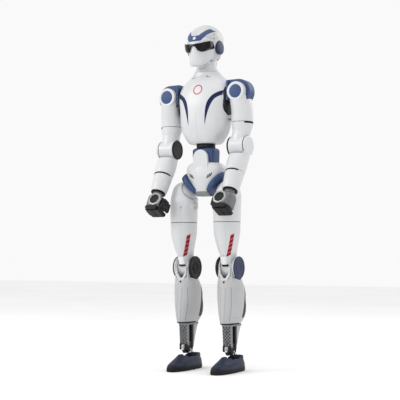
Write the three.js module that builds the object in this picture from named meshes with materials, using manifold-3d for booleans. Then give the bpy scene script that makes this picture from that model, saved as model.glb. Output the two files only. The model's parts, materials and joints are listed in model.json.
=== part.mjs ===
// A full-size humanoid robot standing on both feet with its fists in front of its thighs.
// Millimetres, +Z up. It faces -Y and its left side is +X. The origin is on the ground under its middle.
import * as THREE from 'three';
import { mergeVertices } from 'three/addons/utils/BufferGeometryUtils.js';
import Module from 'manifold-3d';

const wasm = await Module();
wasm.setup();

// ---- driving dimensions ----
const GAP = 0.4; // running gap between neighbouring solids
const ROUND = 16; // sides of a round piece
const BROAD = 20; // sides of a broad one

const neckPitch = { y: 5, z: 1505, radius: 52 };
const collarTop = 1447;
const shoulder = { x: 193, y: 0, z: 1335, blockRadius: 62, blockDepth: 44, bossRadius: 46, bossDepth: 56 };
const shoulderWall = 134.6; // outer face of the torso beside the shoulder block
const armX = 200;
const armSeam = 1191;
const elbow = { y: -18, z: 1075, radius: 47, inner: 157, outer: 236 };
const forearm = { y: -2.7, tilt: THREE.MathUtils.degToRad(28), seam: 150, end: 246, wrist: 258 };
const waistTop = 1096;
const waistBlock = { bottom: 1003, top: 1076 };
const hip = { x: 120, z: 858, ball: 56 };
const hipRing = { x: 66, y: -5, z: 905, radius: 64, width: 34, slope: Math.atan2(0.75, -0.66) };
const legX = 121;
const thighSeam = 715;
const knee = { y: 23, z: 496, disc: 56, hub: 44, hubHalf: 28.5, cheek: 50, inner: 69, outer: 172 };
const shin = { top: 446, bottom: 227 };
const ankle = { y: 14, z: 88 };
const shoe = { length: 276, sole: 18, half: 45 };

// ---- solids ----
function solidOf(geometry) {
  const bare = geometry.clone();
  bare.deleteAttribute('normal');
  bare.deleteAttribute('uv');
  const merged = mergeVertices(bare, 1e-4);
  const mesh = new wasm.Mesh({
    numProp: 3,
    vertProperties: new Float32Array(merged.attributes.position.array),
    triVerts: new Uint32Array(merged.index.array),
  });
  return new wasm.Manifold(mesh);
}

function geometryOf(solid) {
  const mesh = solid.getMesh();
  const geometry = new THREE.BufferGeometry();
  geometry.setAttribute('position', new THREE.BufferAttribute(mesh.vertProperties, 3));
  geometry.setIndex(new THREE.BufferAttribute(mesh.triVerts, 1));
  geometry.computeVertexNormals();
  return geometry;
}

// A body through level sections: { z, x, y, rx, ry, power }, lowest first. Power 2 is an ellipse.
function loft(sections, sides = ROUND) {
  const steps = sections.length - 1;
  const geometry = new THREE.CylinderGeometry(1, 1, 1, sides, steps);
  geometry.rotateX(Math.PI / 2);
  const position = geometry.attributes.position;
  for (let i = 0; i < position.count; i += 1) {
    const { z, x = 0, y = 0, rx, ry = rx, power = 2 } = sections[Math.round((position.getZ(i) + 0.5) * steps)];
    const across = position.getX(i);
    const along = position.getY(i);
    const bend = 2 / power;
    const outX = Math.sign(across) * Math.abs(across) ** bend;
    const outY = Math.sign(along) * Math.abs(along) ** bend;
    position.setXYZ(i, x + rx * outX, y + ry * outY, z);
  }
  return solidOf(geometry);
}

// The same body described by its front and back instead of its middle and depth.
function section(z, rx, front, back, power = 2, x = 0) {
  return { z, x, y: (front + back) / 2, rx, ry: (back - front) / 2, power };
}

// Every section grown sideways and fore-aft by the same amount.
function grown(sections, amount) {
  return sections.map((one) => ({ ...one, rx: one.rx + amount, ry: (one.ry ?? one.rx) + amount }));
}

function cylinder(axis, radius, from, to, [a, b], sides = ROUND) {
  const geometry = new THREE.CylinderGeometry(radius, radius, to - from, sides);
  const middle = (from + to) / 2;
  if (axis === 'x') {
    geometry.rotateZ(Math.PI / 2);
    geometry.translate(middle, a, b);
  } else if (axis === 'y') {
    geometry.translate(a, middle, b);
  } else {
    geometry.rotateX(Math.PI / 2);
    geometry.translate(a, b, middle);
  }
  return solidOf(geometry);
}

function sphere(radius, x, y, z, sides = ROUND) {
  const geometry = new THREE.SphereGeometry(radius, sides, sides / 2);
  geometry.rotateX(Math.PI / 2);
  geometry.translate(x, y, z);
  return solidOf(geometry);
}

function box([x0, x1], [y0, y1], [z0, z1]) {
  const geometry = new THREE.BoxGeometry(x1 - x0, y1 - y0, z1 - z0);
  geometry.translate((x0 + x1) / 2, (y0 + y1) / 2, (z0 + z1) / 2);
  return solidOf(geometry);
}

// An outline drawn in the YZ plane, carried along X.
function prismX(points, from, to) {
  const shape = new THREE.Shape(points.map(([y, z]) => new THREE.Vector2(y, z)));
  const geometry = new THREE.ExtrudeGeometry(shape, { depth: to - from, bevelEnabled: false });
  geometry.rotateY(Math.PI / 2);
  geometry.rotateX(Math.PI / 2);
  geometry.translate(from, 0, 0);
  return solidOf(geometry);
}

// An outline drawn in the XZ plane, carried along Y.
function prismY(points, from, to) {
  const shape = new THREE.Shape(points.map(([x, z]) => new THREE.Vector2(x, z)));
  const geometry = new THREE.ExtrudeGeometry(shape, { depth: to - from, bevelEnabled: false });
  geometry.rotateX(Math.PI / 2);
  geometry.translate(0, to, 0);
  return solidOf(geometry);
}

// A bar with round ends in the XZ plane, from one point to another, carried along Y.
function bar([x0, z0], [x1, z1], radius, from, to) {
  const angle = Math.atan2(z1 - z0, x1 - x0);
  const endSteps = 4;
  const outline = [];
  for (const [x, z, start] of [[x1, z1, angle - Math.PI / 2], [x0, z0, angle + Math.PI / 2]]) {
    for (let i = 0; i <= endSteps; i += 1) {
      const turn = start + (Math.PI * i) / endSteps;
      outline.push([x + radius * Math.cos(turn), z + radius * Math.sin(turn)]);
    }
  }
  return prismY(outline, from, to);
}

// The pocket for a piece set into the front of another, with a gap behind it and around its rim.
function roomFor(solid) {
  const steps = [[GAP, GAP, GAP], [-GAP, GAP, GAP], [GAP, GAP, -GAP], [-GAP, GAP, -GAP]];
  return steps.reduce((all, step) => all.add(solid.translate(step)), solid);
}

function mirrored(geometry) {
  const copy = geometry.clone();
  copy.scale(-1, 1, 1);
  const index = copy.index;
  for (let i = 0; i < index.count; i += 3) {
    const first = index.getX(i);
    index.setX(i, index.getX(i + 1));
    index.setX(i + 1, first);
  }
  copy.computeVertexNormals();
  return copy;
}

// ---- the scene ----
const group = new THREE.Group();

const white = { color: 0xe9eaec, roughness: 0.38, metalness: 0.05 };
const shinGrey = { color: 0xc3c4c7, roughness: 0.42, metalness: 0.1 };
const navy = { color: 0x40537c, roughness: 0.4, metalness: 0.1 };
const deepNavy = { color: 0x2c3858, roughness: 0.5, metalness: 0.05 };
const black = { color: 0x18191b, roughness: 0.55, metalness: 0.1 };
const glossBlack = { color: 0x08080a, roughness: 0.12, metalness: 0.1 };
const handGrey = { color: 0x8d9095, roughness: 0.4, metalness: 0.45 };
const metal = { color: 0x7c7f84, roughness: 0.35, metalness: 0.7 };

function place(name, solid, look, geometry = geometryOf(solid)) {
  const mesh = new THREE.Mesh(geometry, new THREE.MeshStandardMaterial(look));
  mesh.name = name;
  group.add(mesh);
}

// A left-hand piece and its mirror image.
function placePair(name, solid, look) {
  const geometry = geometryOf(solid);
  place(`${name}_left`, solid, look, geometry);
  place(`${name}_right`, solid, look, mirrored(geometry));
}

// ---- head and neck ----
function addHead() {
  const skull = loft([
    section(1478, 20, -94, -64),
    section(1490, 34, -103, -52),
    section(1503, 50, -108, 40),
    section(1530, 68, -113, 80),
    section(1556, 76, -116, 89),
    section(1585, 81, -114, 95),
    section(1612, 82, -107, 97),
    section(1636, 77, -95, 93),
    section(1658, 64, -76, 80),
    section(1674, 47, -52, 62),
    section(1684, 29, -28, 42),
    section(1690, 8, -6, 18),
  ]);
  const neckSocket = cylinder('x', neckPitch.radius + 1.4, -56, 56, [neckPitch.y, neckPitch.z]);
  const ear = { radius: 33, inner: 71, outer: 87, y: -3, z: 1563 };
  const earPocket = cylinder('x', ear.radius + GAP, ear.inner - GAP, 100, [ear.y, ear.z]);
  const otherEarPocket = cylinder('x', ear.radius + GAP, -100, GAP - ear.inner, [ear.y, ear.z]);
  const visorHalf = [[72, 1581], [71, 1553], [44, 1532], [28, 1534], [13, 1553]];
  const otherHalf = visorHalf.map(([x, z]) => [-x, z]).reverse();
  const visorBlock = prismY([[0, 1566], ...visorHalf, ...otherHalf], -140, -46);
  const wrap = loft([
    section(1525, 70, -118, 60),
    section(1556, 80, -121, 60),
    section(1590, 85, -119, 60),
  ]);
  const inside = loft([
    section(1520, 62, -108, 60),
    section(1556, 70.5, -110.5, 60),
    section(1595, 76, -108.5, 60),
  ]);
  const visor = visorBlock.intersect(wrap).subtract(inside);
  const face = [[-160, 1600], [-72, 1600], [-30, 1540], [-26, 1440], [-160, 1440]];
  const facePiece = prismX(face, -120, 120);
  const carved = skull
    .subtract(neckSocket)
    .subtract(earPocket)
    .subtract(otherEarPocket)
    .subtract(roomFor(visor));
  place('face_mask', carved.intersect(facePiece), white);
  place('head_shell', carved.subtract(facePiece.translate([0, GAP, GAP])), white);
  place('visor', visor, glossBlack);
  placePair('ear_disc', cylinder('x', ear.radius, ear.inner, ear.outer, [ear.y, ear.z]), navy);

  const column = loft([
    section(collarTop + GAP, 58, -46, 66),
    section(1462, 50, -42, 56),
    section(1480, 48, -40, 52),
    section(1560, 48, -40, 50),
  ]);
  const roundTop = cylinder('x', neckPitch.radius, -46, 46, [neckPitch.y, neckPitch.z]);
  const below = box([-80, 80], [-80, 90], [1400, neckPitch.z - 29]);
  const neckBody = column.intersect(below.add(roundTop));
  place('neck_column', neckBody, white);
}

// ---- torso ----
function addTorso() {
  const torso = loft([
    section(waistTop + GAP, 78, -62, 64, 2.3),
    section(1106, 88, -70, 70, 2.3),
    section(1121, 98, -78, 78, 2.3),
    section(1150, 114, -90, 88, 2.3),
    section(1180, 124, -96, 95, 2.3),
    section(1210, 128, -99, 100, 2.3),
    section(1267, 132, -102, 104, 2.3),
    section(1325, 141, -98, 106, 2.2),
    section(1350, 141, -92, 105, 2.1),
    section(1375, 132, -82, 102),
    section(1395, 116, -70, 96),
    section(1413, 95, -60, 84),
    section(1430, 75, -51, 73),
    section(collarTop, 60, -47, 67),
  ], BROAD);
  const hub = { width: 88, low: 1232, high: 1372, inner: 118 };
  const hubOutline = [];
  for (let i = 0; i <= 8; i += 1) {
    const turn = (Math.PI * i) / 8;
    hubOutline.push([hub.width / 2 * Math.cos(turn), hub.high - hub.width / 2 + hub.width / 2 * Math.sin(turn)]);
  }
  for (let i = 0; i <= 8; i += 1) {
    const turn = Math.PI + (Math.PI * i) / 8;
    hubOutline.push([hub.width / 2 * Math.cos(turn), hub.low + hub.width / 2 + hub.width / 2 * Math.sin(turn)]);
  }
  const hubPocket = prismX(hubOutline.map(([y, z]) => [y * 1.02, z]), hub.inner - GAP, 160);
  const blockSweep = cylinder('x', 80, shoulderWall, 160, [shoulder.y, shoulder.z]);
  const leftCut = hubPocket.add(blockSweep);
  const rightCut = leftCut.mirror([1, 0, 0]);
  const carved = torso.subtract(leftCut).subtract(rightCut);
  const front = box([-200, 200], [-200, 12], [1000, 1500]);
  place('chest_shell', carved.intersect(front), white);
  place('back_shell', carved.subtract(front.translate([0, GAP, 0])), white);
  placePair('shoulder_hub', prismX(hubOutline, hub.inner, shoulderWall - GAP), black);
}

// ---- pelvis and waist ----
function hipRingSolid(radius, inner, outer) {
  const geometry = new THREE.CylinderGeometry(radius, radius, outer - inner, BROAD);
  geometry.translate(0, (outer + inner) / 2, 0);
  geometry.rotateZ(-hipRing.slope);
  geometry.translate(hipRing.x, hipRing.y, hipRing.z);
  return solidOf(geometry);
}

function addPelvis() {
  place('waist_bearing', cylinder('z', 46, waistBlock.top + GAP, waistTop, [0, 0]), black);
  place('waist_block', loft([
    { z: waistBlock.bottom, y: 2, rx: 59, ry: 44, power: 5 },
    { z: 1062, y: 2, rx: 60, ry: 44, power: 5 },
    { z: 1071, y: 2, rx: 57, ry: 41, power: 4.5 },
    { z: waistBlock.top, y: 2, rx: 50, ry: 36, power: 4 },
  ]), navy);

  const body = loft([
    section(842, 26, -34, 34),
    section(862, 48, -46, 50),
    section(900, 80, -56, 62),
    section(940, 98, -60, 66),
    section(975, 102, -58, 62),
    section(992, 92, -54, 58),
    section(waistBlock.bottom - GAP, 74, -50, 52),
  ], BROAD);
  const ringRoom = hipRingSolid(hipRing.radius + GAP, -hipRing.width / 2 - GAP, 90);
  const carved = body.subtract(ringRoom).subtract(ringRoom.mirror([1, 0, 0]));
  const front = box([-200, 200], [-200, 16], [800, 1100]);
  const arch = [];
  const tongue = { half: 40, rise: 1026, base: 985 };
  arch.push([tongue.half, tongue.base]);
  for (let i = 0; i <= 8; i += 1) {
    const turn = (Math.PI * i) / 8;
    arch.push([tongue.half * Math.cos(turn), tongue.rise + tongue.half * Math.sin(turn)]);
  }
  arch.push([-tongue.half, tongue.base]);
  const tonguePiece = prismY(arch, -56, -42 - GAP);
  place('pelvis_front_cover', carved.intersect(front).add(tonguePiece), white);
  place('pelvis_rear', carved.subtract(front.translate([0, GAP, 0])), shinGrey);

  const ballRoom = sphere(hip.ball + 1.6, hip.x, 0, hip.z, BROAD);
  placePair('hip_ring', hipRingSolid(hipRing.radius, -hipRing.width / 2, hipRing.width / 2).subtract(ballRoom), navy);
}

// ---- arm ----
function addUpperArm() {
  const { x, z, blockRadius, blockDepth, bossRadius, bossDepth } = shoulder;
  const head = cylinder('y', blockRadius, -blockDepth, blockDepth, [x, z], BROAD);
  const root = box([shoulderWall + GAP, x], [-blockDepth, blockDepth], [z - 38, z + blockRadius]);
  const torsoSide = box([100, shoulderWall + GAP], [-80, 80], [z - 80, z + 80]);
  placePair('shoulder_block', head.add(root).subtract(torsoSide), navy);

  const column = loft([
    { z: armSeam + GAP, x: armX, y: 4, rx: 52 },
    { z: 1235, x: armX, y: 3, rx: 52 },
    { z: 1270, x: armX - 1, y: 1, rx: 52, ry: 55, power: 2.2 },
    { z: 1300, x: armX - 3, y: 0, rx: 50, ry: bossDepth, power: 2.5 },
    { z, x, y: 0, rx: bossRadius, ry: bossDepth, power: 3 },
  ]);
  const bosses = cylinder('y', bossRadius, -bossDepth, bossDepth, [x, z]);
  const slot = blockDepth + GAP;
  const headRoom = cylinder('y', blockRadius + 0.8, -slot, slot, [x, z], BROAD);
  const above = box([100, 300], [-slot, slot], [z, z + 90]);
  placePair('upper_arm_sleeve', column.add(bosses).subtract(headRoom).subtract(above), white);
}

function addElbow() {
  const { y, z, radius, inner, outer } = elbow;
  const neck = loft([
    { z: z - 5, x: armX - 3, y, rx: 38, ry: 42 },
    { z: 1110, x: armX - 3, y: -12, rx: 42, ry: 43 },
    { z: 1134, x: armX - 2, y: -5, rx: 45 },
    { z: 1149, x: armX, y: -1, rx: 46 },
    { z: 1166, x: armX, y: 2, rx: 50 },
    { z: armSeam, x: armX, y: 4, rx: 51 },
  ]);
  const barrel = cylinder('x', radius, inner, outer, [y, z]);
  const plateRoom = cylinder('x', radius + 1.5, outer, outer + 40, [y, z]);
  const capRoom = cylinder('x', radius + 1.5, inner - 40, inner, [y, z]);
  placePair('elbow_housing', neck.add(barrel).subtract(plateRoom).subtract(capRoom), white);
  placePair('elbow_cap', cylinder('x', radius, inner - 8, inner - GAP, [y, z]), black);
}

// Pieces of the forearm and hand are drawn hanging straight down from the elbow, then swung forward.
function swungForward(solid) {
  const degrees = THREE.MathUtils.radToDeg(-forearm.tilt);
  return solid.rotate([degrees, 0, 0]).translate([armX, forearm.y, elbow.z]);
}

function addForearm() {
  const upper = loft([
    { z: -forearm.seam, rx: 46.5 },
    { z: -125, rx: 49 },
    { z: -95, rx: 50 },
    { z: -65, x: 1, rx: 49.5 },
    { z: -35, x: 2, rx: 48, ry: 46 },
    { z: -15, x: 5, rx: 45, ry: 40 },
  ]);
  const plate = cylinder('x', elbow.radius, elbow.outer + GAP, elbow.outer + 14, [elbow.y, elbow.z]);
  const cheek = box([elbow.outer + GAP, elbow.outer + 14], [-50, 10], [1028, elbow.z]);
  const barrelRoom = cylinder('x', elbow.radius + 1, 100, elbow.outer + GAP, [elbow.y, elbow.z], BROAD);
  const neckRoom = box([100, elbow.outer + GAP], [-90, 80], [elbow.z - 38, 1200]);
  const shell = swungForward(upper).subtract(barrelRoom).subtract(neckRoom);
  const outside = swungForward(upper).intersect(box([elbow.outer + GAP, 300], [-100, 80], [900, 1200]));
  placePair('forearm_upper', shell.add(outside).add(plate).add(cheek), white);

  const lower = loft([
    { z: -forearm.end, rx: 36.5 },
    { z: -232, rx: 39.5 },
    { z: -200, rx: 43 },
    { z: -forearm.seam - GAP, rx: 46.5 },
  ]);
  const bore = cylinder('z', 28, -forearm.end - 10, -forearm.wrist + 30, [0, 0]);
  placePair('forearm_lower', swungForward(lower.subtract(bore)), white);
}

function addHand() {
  const top = -forearm.wrist;
  const wristBall = sphere(26.5, 0, 0, top, 12);
  const palm = loft([
    { z: top - 80, x: -8, rx: 37, ry: 39, power: 3 },
    { z: top - 70, x: -8, rx: 40, ry: 42, power: 3.2 },
    { z: top - 30, x: -7, rx: 40, ry: 42, power: 3.2 },
    { z: top - 14, x: -3, rx: 34, ry: 36, power: 2.6 },
    { z: top - 8, x: 0, rx: 29, power: 2 },
  ]);
  placePair('palm_housing', swungForward(palm.add(wristBall)), handGrey);

  const knuckle = [18, top - 93];
  const middle = [-44, top - 93];
  const tipRoot = [-58.5, top - 75];
  const tipEnd = [-58.5, top - 38];
  const pitch = 20;
  const base = [];
  const tips = [];
  for (let i = 0; i < 4; i += 1) {
    const side = -40 + pitch * i;
    base.push(bar(knuckle, middle, 11, side, side + pitch - 1.4));
    tips.push(bar(tipRoot, tipEnd, 9, side + 0.6, side + pitch - 2));
  }
  const knuckleBar = cylinder('y', 8, -39, 37, knuckle);
  const tipBar = cylinder('y', 6, -38.5, 36.5, tipRoot);
  const baseBank = base.reduce((all, one) => all.add(one), knuckleBar);
  const tipBank = tips.reduce((all, one) => all.add(one), tipBar);
  placePair('finger_base', swungForward(baseBank), black);
  placePair('finger_tips', swungForward(tipBank), black);
  placePair('thumb', swungForward(bar([14, top - 92], [-42, top - 92], 9.5, -57, -42.6)), black);
}

// ---- leg ----
function addThigh() {
  const ball = sphere(hip.ball, hip.x, 0, hip.z, BROAD);
  placePair('hip_ball', ball, shinGrey);

  const upper = loft([
    section(thighSeam + GAP, 64, -80, 64, 2, legX),
    section(771, 65, -81, 66, 2, legX),
    section(810, 66, -80, 70, 2, legX),
    section(838, 66, -74, 70, 2, legX),
    section(852, 64, -66, 66, 2, legX),
  ]);
  const motor = cylinder('x', 37, 50, 90, [-6, 799]);
  const ballRoom = sphere(hip.ball + 1.6, hip.x, 0, hip.z, BROAD);
  const innerRelief = box([0, 110], [-120, 120], [826, 900]);
  placePair('thigh_upper', upper.add(motor).subtract(ballRoom).subtract(innerRelief), white);

  const lower = loft([
    section(knee.z, knee.hubHalf, knee.y - 40, knee.y + 40, 3, legX),
    section(548, knee.hubHalf, -36, 56, 3, legX),
    section(579, 42, -52, 50, 2.2, legX),
    section(609, 51, -64, 54, 2, legX),
    section(638, 57, -72, 58, 2, legX),
    section(667, 62, -78, 62, 2, legX),
    section(thighSeam, 64, -80, 64, 2, legX),
  ]);
  const hub = cylinder('x', knee.hub, legX - knee.hubHalf, legX + knee.hubHalf, [knee.y, knee.z], BROAD);
  placePair('thigh_lower', lower.add(hub), white);
}

function addShin() {
  const shape = [
    section(shin.bottom, 40, -60, 118, 2.2, legX),
    section(240, 43, -60, 130, 2.2, legX),
    section(262, 46, -59, 142, 2.2, legX),
    section(283, 49, -57, 143, 2.2, legX),
    section(313, 52, -54, 138, 2.2, legX),
    section(343, 56, -51, 126, 2.2, legX),
    section(372, 58, -48, 122, 2.2, legX),
    section(404, 59, -43, 104, 2.2, legX),
    section(432, 57, -39, 82, 2.2, legX),
    section(shin.top, 52, -34, 70, 2.2, legX),
  ];
  const inset = 12;
  const slimmer = shape.map((one) => ({ ...one, y: one.y - inset / 2, ry: one.ry - inset / 2 }));
  const hubHalf = knee.hubHalf + GAP;
  const cheeks = [];
  for (const [from, to] of [[knee.inner + 13.4, legX - hubHalf], [legX + hubHalf, knee.outer - 13.4]]) {
    cheeks.push(cylinder('x', knee.cheek, from, to, [knee.y, knee.z]));
    cheeks.push(prismX([[-30, 430], [-25, 494], [71, 494], [66, 430]], from, to));
  }
  const hubRoom = cylinder('x', knee.hub + 1, legX - hubHalf, legX + hubHalf, [knee.y, knee.z], BROAD);
  const discRoom = cylinder('x', knee.disc + 1, 40, knee.inner + 13.4, [knee.y, knee.z], BROAD)
    .add(cylinder('x', knee.disc + 1, knee.outer - 13.4, 200, [knee.y, knee.z], BROAD));
  const shell = cheeks.reduce((all, one) => all.add(one), loft(slimmer)).subtract(hubRoom).subtract(discRoom);
  placePair('shin_shell', shell, shinGrey);

  const strip = box([legX - 26, legX + 26], [20, 200], [256, 436]);
  const insert = loft(shape).intersect(strip).subtract(loft(grown(slimmer, GAP)));
  placePair('calf_insert', insert, black);

  placePair('knee_disc_inner', cylinder('x', knee.disc, knee.inner, knee.inner + 13, [knee.y, knee.z], BROAD), black);
  placePair('knee_disc_outer', cylinder('x', knee.disc, knee.outer - 13, knee.outer, [knee.y, knee.z], BROAD), deepNavy);
}

function addAnkle() {
  const top = shin.bottom - GAP;
  const plate = prismX([[-16, top], [-8, 118], [6, 118], [4, top]], legX - 23, legX + 23);
  const roof = box([legX - 26, legX + 26], [-16, 88], [top - 9, top]);
  const strut = prismX([[46, top], [52, 150], [56, 104], [70, 104], [76, 150], [88, top]], legX - 14, legX + 14);
  const forkLeft = bar([legX - 15, 122], [legX - 15, 96], 3.5, 2, 26);
  const forkRight = bar([legX + 15, 122], [legX + 15, 96], 3.5, 2, 26);
  const bridge = box([legX - 18, legX + 18], [-4, 26], [118, 130]);
  const frame = plate.add(roof).add(strut).add(forkLeft).add(forkRight).add(bridge);
  placePair('ankle_frame', frame, metal);

  const motors = box([legX - 24, legX + 24], [27, 44], [134, top - 9 - GAP]);
  const rods = [-20, 20].map((offset) => cylinder('z', 4.5, 82, 140, [legX + offset, 36], 10));
  placePair('ankle_actuator', motors.add(rods[0]).add(rods[1]), black);

  const crossX = cylinder('x', 10, legX - 10.5, legX + 10.5, [ankle.y, ankle.z], 16);
  const crossY = cylinder('y', 9, ankle.y - 22, ankle.y + 22, [legX, ankle.z], 16);
  placePair('ankle_cross', crossX.add(crossY), black);
}

function addShoe() {
  const half = shoe.length / 2;
  placePair('sole', loft([
    section(0, shoe.half - 2, -half, half, 2.6, legX),
    section(6, shoe.half, -half, half, 2.6, legX),
    section(shoe.sole, shoe.half - 1, -half + 2, half - 1, 2.6, legX),
  ], BROAD), black);

  const upper = loft([
    section(shoe.sole + GAP, shoe.half - 1.5, -half + 3, half - 2, 2.6, legX),
    section(30, shoe.half - 2, -128, half - 2, 2.5, legX),
    section(45, 41, -108, 134, 2.3, legX),
    section(60, 37, -82, 128, 2.2, legX),
    section(74, 33, -56, 120, 2.2, legX),
  ], BROAD);
  const heelCollar = loft([
    section(70, 34, 30, 122, 2.2, legX),
    section(88, 30, 52, 116, 2.2, legX),
  ]);
  const opening = box([legX - 28, legX + 28], [ankle.y - 22 - GAP, 92], [52, 120]);
  const bore = box([legX - 60, legX + 60], [-12, 58], [66, 120]);
  placePair('shoe_upper', upper.add(heelCollar).subtract(opening).subtract(bore), deepNavy);
}

addHead();
addTorso();
addPelvis();
addUpperArm();
addElbow();
addForearm();
addHand();
addThigh();
addShin();
addAnkle();
addShoe();

// The ground point under the middle of the whole robot is the origin.
const bounds = new THREE.Box3().setFromObject(group);
group.position.y = -(bounds.min.y + bounds.max.y) / 2;

export default group;
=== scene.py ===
"""Studio render of a full-size humanoid robot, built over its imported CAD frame."""
import json
from math import atan2, cos, pi, radians, sin

import bmesh
import bpy
import numpy as np
from mathutils import Matrix, Vector
from mathutils.bvhtree import BVHTree

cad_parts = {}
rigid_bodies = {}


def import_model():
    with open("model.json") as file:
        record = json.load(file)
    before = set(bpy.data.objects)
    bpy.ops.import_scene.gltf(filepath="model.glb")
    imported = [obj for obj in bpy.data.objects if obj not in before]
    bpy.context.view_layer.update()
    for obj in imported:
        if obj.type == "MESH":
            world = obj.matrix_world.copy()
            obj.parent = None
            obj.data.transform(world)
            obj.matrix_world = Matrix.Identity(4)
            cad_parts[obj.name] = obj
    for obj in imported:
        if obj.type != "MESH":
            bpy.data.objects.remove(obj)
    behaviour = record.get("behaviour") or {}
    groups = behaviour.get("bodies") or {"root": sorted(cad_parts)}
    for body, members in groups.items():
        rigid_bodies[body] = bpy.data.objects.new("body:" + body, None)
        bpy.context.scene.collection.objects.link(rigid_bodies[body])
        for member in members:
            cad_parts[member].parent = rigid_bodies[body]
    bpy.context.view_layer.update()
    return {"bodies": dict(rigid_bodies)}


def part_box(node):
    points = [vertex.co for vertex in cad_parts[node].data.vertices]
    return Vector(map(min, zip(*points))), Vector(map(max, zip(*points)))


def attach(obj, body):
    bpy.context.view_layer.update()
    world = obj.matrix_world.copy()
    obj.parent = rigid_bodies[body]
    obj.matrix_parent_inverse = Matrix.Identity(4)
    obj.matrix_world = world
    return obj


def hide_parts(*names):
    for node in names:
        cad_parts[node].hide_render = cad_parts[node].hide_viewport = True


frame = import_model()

MM = 0.001
SIDES = (("left", 1), ("right", -1))
SOLE_LOW, SOLE_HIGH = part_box("sole_left")
# Pieces are drawn in millimetres with the middle of the shoes at y = 0, then moved to the frame.
DRAWN_TO_FRAME = Matrix.Translation((0, (SOLE_LOW[1] + SOLE_HIGH[1]) / 2, 0)) @ Matrix.Scale(MM, 4)

# ---- driving dimensions, in millimetres ----
NECK_PITCH = (5, 1505)
COLLAR_TOP = 1447
SHOULDER = (193, 1335)
ARM_X = 200
ARM_SEAM = 1191
ELBOW = (-18, 1075)
FOREARM_TILT = radians(28)
FOREARM_SEAM = 150
FOREARM_END = 246
WRIST = 258
WAIST_TOP = 1096
HIP = (120, 0, 858)
HIP_BALL = 56
RING = (66, -5, 905)
LEG_X = 121
THIGH_SEAM = 715
KNEE = (23, 496)
KNEE_DISC = 56
SHIN_BOTTOM = 227
ANKLE = (14, 88)
SEAM = 0.4
EAR = (-3, 1563)
BADGE_Z = 1598
CHEST_RING_Z = 1354
KNEE_HALF = 28.5
# The head's nod in steps up to just past its limit, and the limit of the hip's roll, in degrees.
NOD_STEPS = (4, 8, 12, 15, 17)
HIP_ROLL_LIMIT = 25

# ---- the camera, in drawing millimetres and degrees ----
CAMERA_LENS, CAMERA_SENSOR = 87.1, 36
CAMERA_AT = (2382.3, -4053.4, 559)
CAMERA_TILT, CAMERA_TURN = 93.23, 30.8
LIGHTS_AIM = (0, 0, 0.95)
FLOOR_HALF, FLOOR_Z = 12, -0.0005


# ---- materials ----
def new_material(name):
    material = bpy.data.materials.new(name)
    material.use_nodes = True
    tree = material.node_tree
    return material, tree, tree.nodes["Principled BSDF"]


def noise(tree, scale, detail=3.0, roughness=0.5):
    coords = tree.nodes.new("ShaderNodeTexCoord")
    texture = tree.nodes.new("ShaderNodeTexNoise")
    texture.inputs["Scale"].default_value = scale
    texture.inputs["Detail"].default_value = detail
    texture.inputs["Roughness"].default_value = roughness
    tree.links.new(coords.outputs["Object"], texture.inputs["Vector"])
    return texture.outputs["Fac"]


def ramp(tree, source, stops):
    node = tree.nodes.new("ShaderNodeValToRGB")
    tree.links.new(source, node.inputs["Fac"])
    elements = node.color_ramp.elements
    while len(elements) < len(stops):
        elements.new(0.5)
    for element, (place, colour) in zip(elements, stops):
        element.position = place
        element.color = (*colour, 1.0)
    return node.outputs["Color"]


def grey(value):
    return (value, value, value)


def shade(colour, factor):
    return tuple(min(1.0, channel * factor) for channel in colour)


def moulded(name, colour, rough=0.38, spread=0.06, grain=0.00006, grain_scale=900, variation=0.04, wear=0.12,
            metallic=0.0, coat=0.0, shine=0.5):
    """Moulded or painted shell: cloudy colour, uneven gloss, a fine skin texture and worn edges."""
    material, tree, shader = new_material(name)
    links = tree.links
    clouds = ramp(tree, noise(tree, 9, 4), [(0.3, shade(colour, 1 - variation)),
        (0.7, shade(colour, 1 + variation))])
    edges = tree.nodes.new("ShaderNodeNewGeometry")
    rim = ramp(tree, edges.outputs["Pointiness"], [(0.52, grey(0.0)), (0.6, grey(1.0))])
    patches = ramp(tree, noise(tree, 60, 5, 0.6), [(0.5, grey(0.0)), (0.68, grey(wear))])
    worn = tree.nodes.new("ShaderNodeMath")
    worn.operation = "MULTIPLY"
    links.new(rim, worn.inputs[0])
    links.new(patches, worn.inputs[1])
    mix = tree.nodes.new("ShaderNodeMix")
    mix.data_type = "RGBA"
    links.new(worn.outputs[0], mix.inputs["Factor"])
    links.new(clouds, mix.inputs["A"])
    mix.inputs["B"].default_value = (*(shade(colour, 0.55) if max(colour) > 0.5 else shade(colour, 2.6)), 1)
    links.new(mix.outputs["Result"], shader.inputs["Base Color"])
    gloss = ramp(tree, noise(tree, 26, 5, 0.6), [(0.35, grey(rough - spread)), (0.7, grey(rough + spread))])
    links.new(gloss, shader.inputs["Roughness"])
    bump = tree.nodes.new("ShaderNodeBump")
    bump.inputs["Strength"].default_value = 0.5
    bump.inputs["Distance"].default_value = grain
    links.new(noise(tree, grain_scale, 2), bump.inputs["Height"])
    links.new(bump.outputs["Normal"], shader.inputs["Normal"])
    shader.inputs["Metallic"].default_value = metallic
    shader.inputs["Specular IOR Level"].default_value = shine
    shader.inputs["Coat Weight"].default_value = coat
    shader.inputs["Coat Roughness"].default_value = 0.12
    return material


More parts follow.
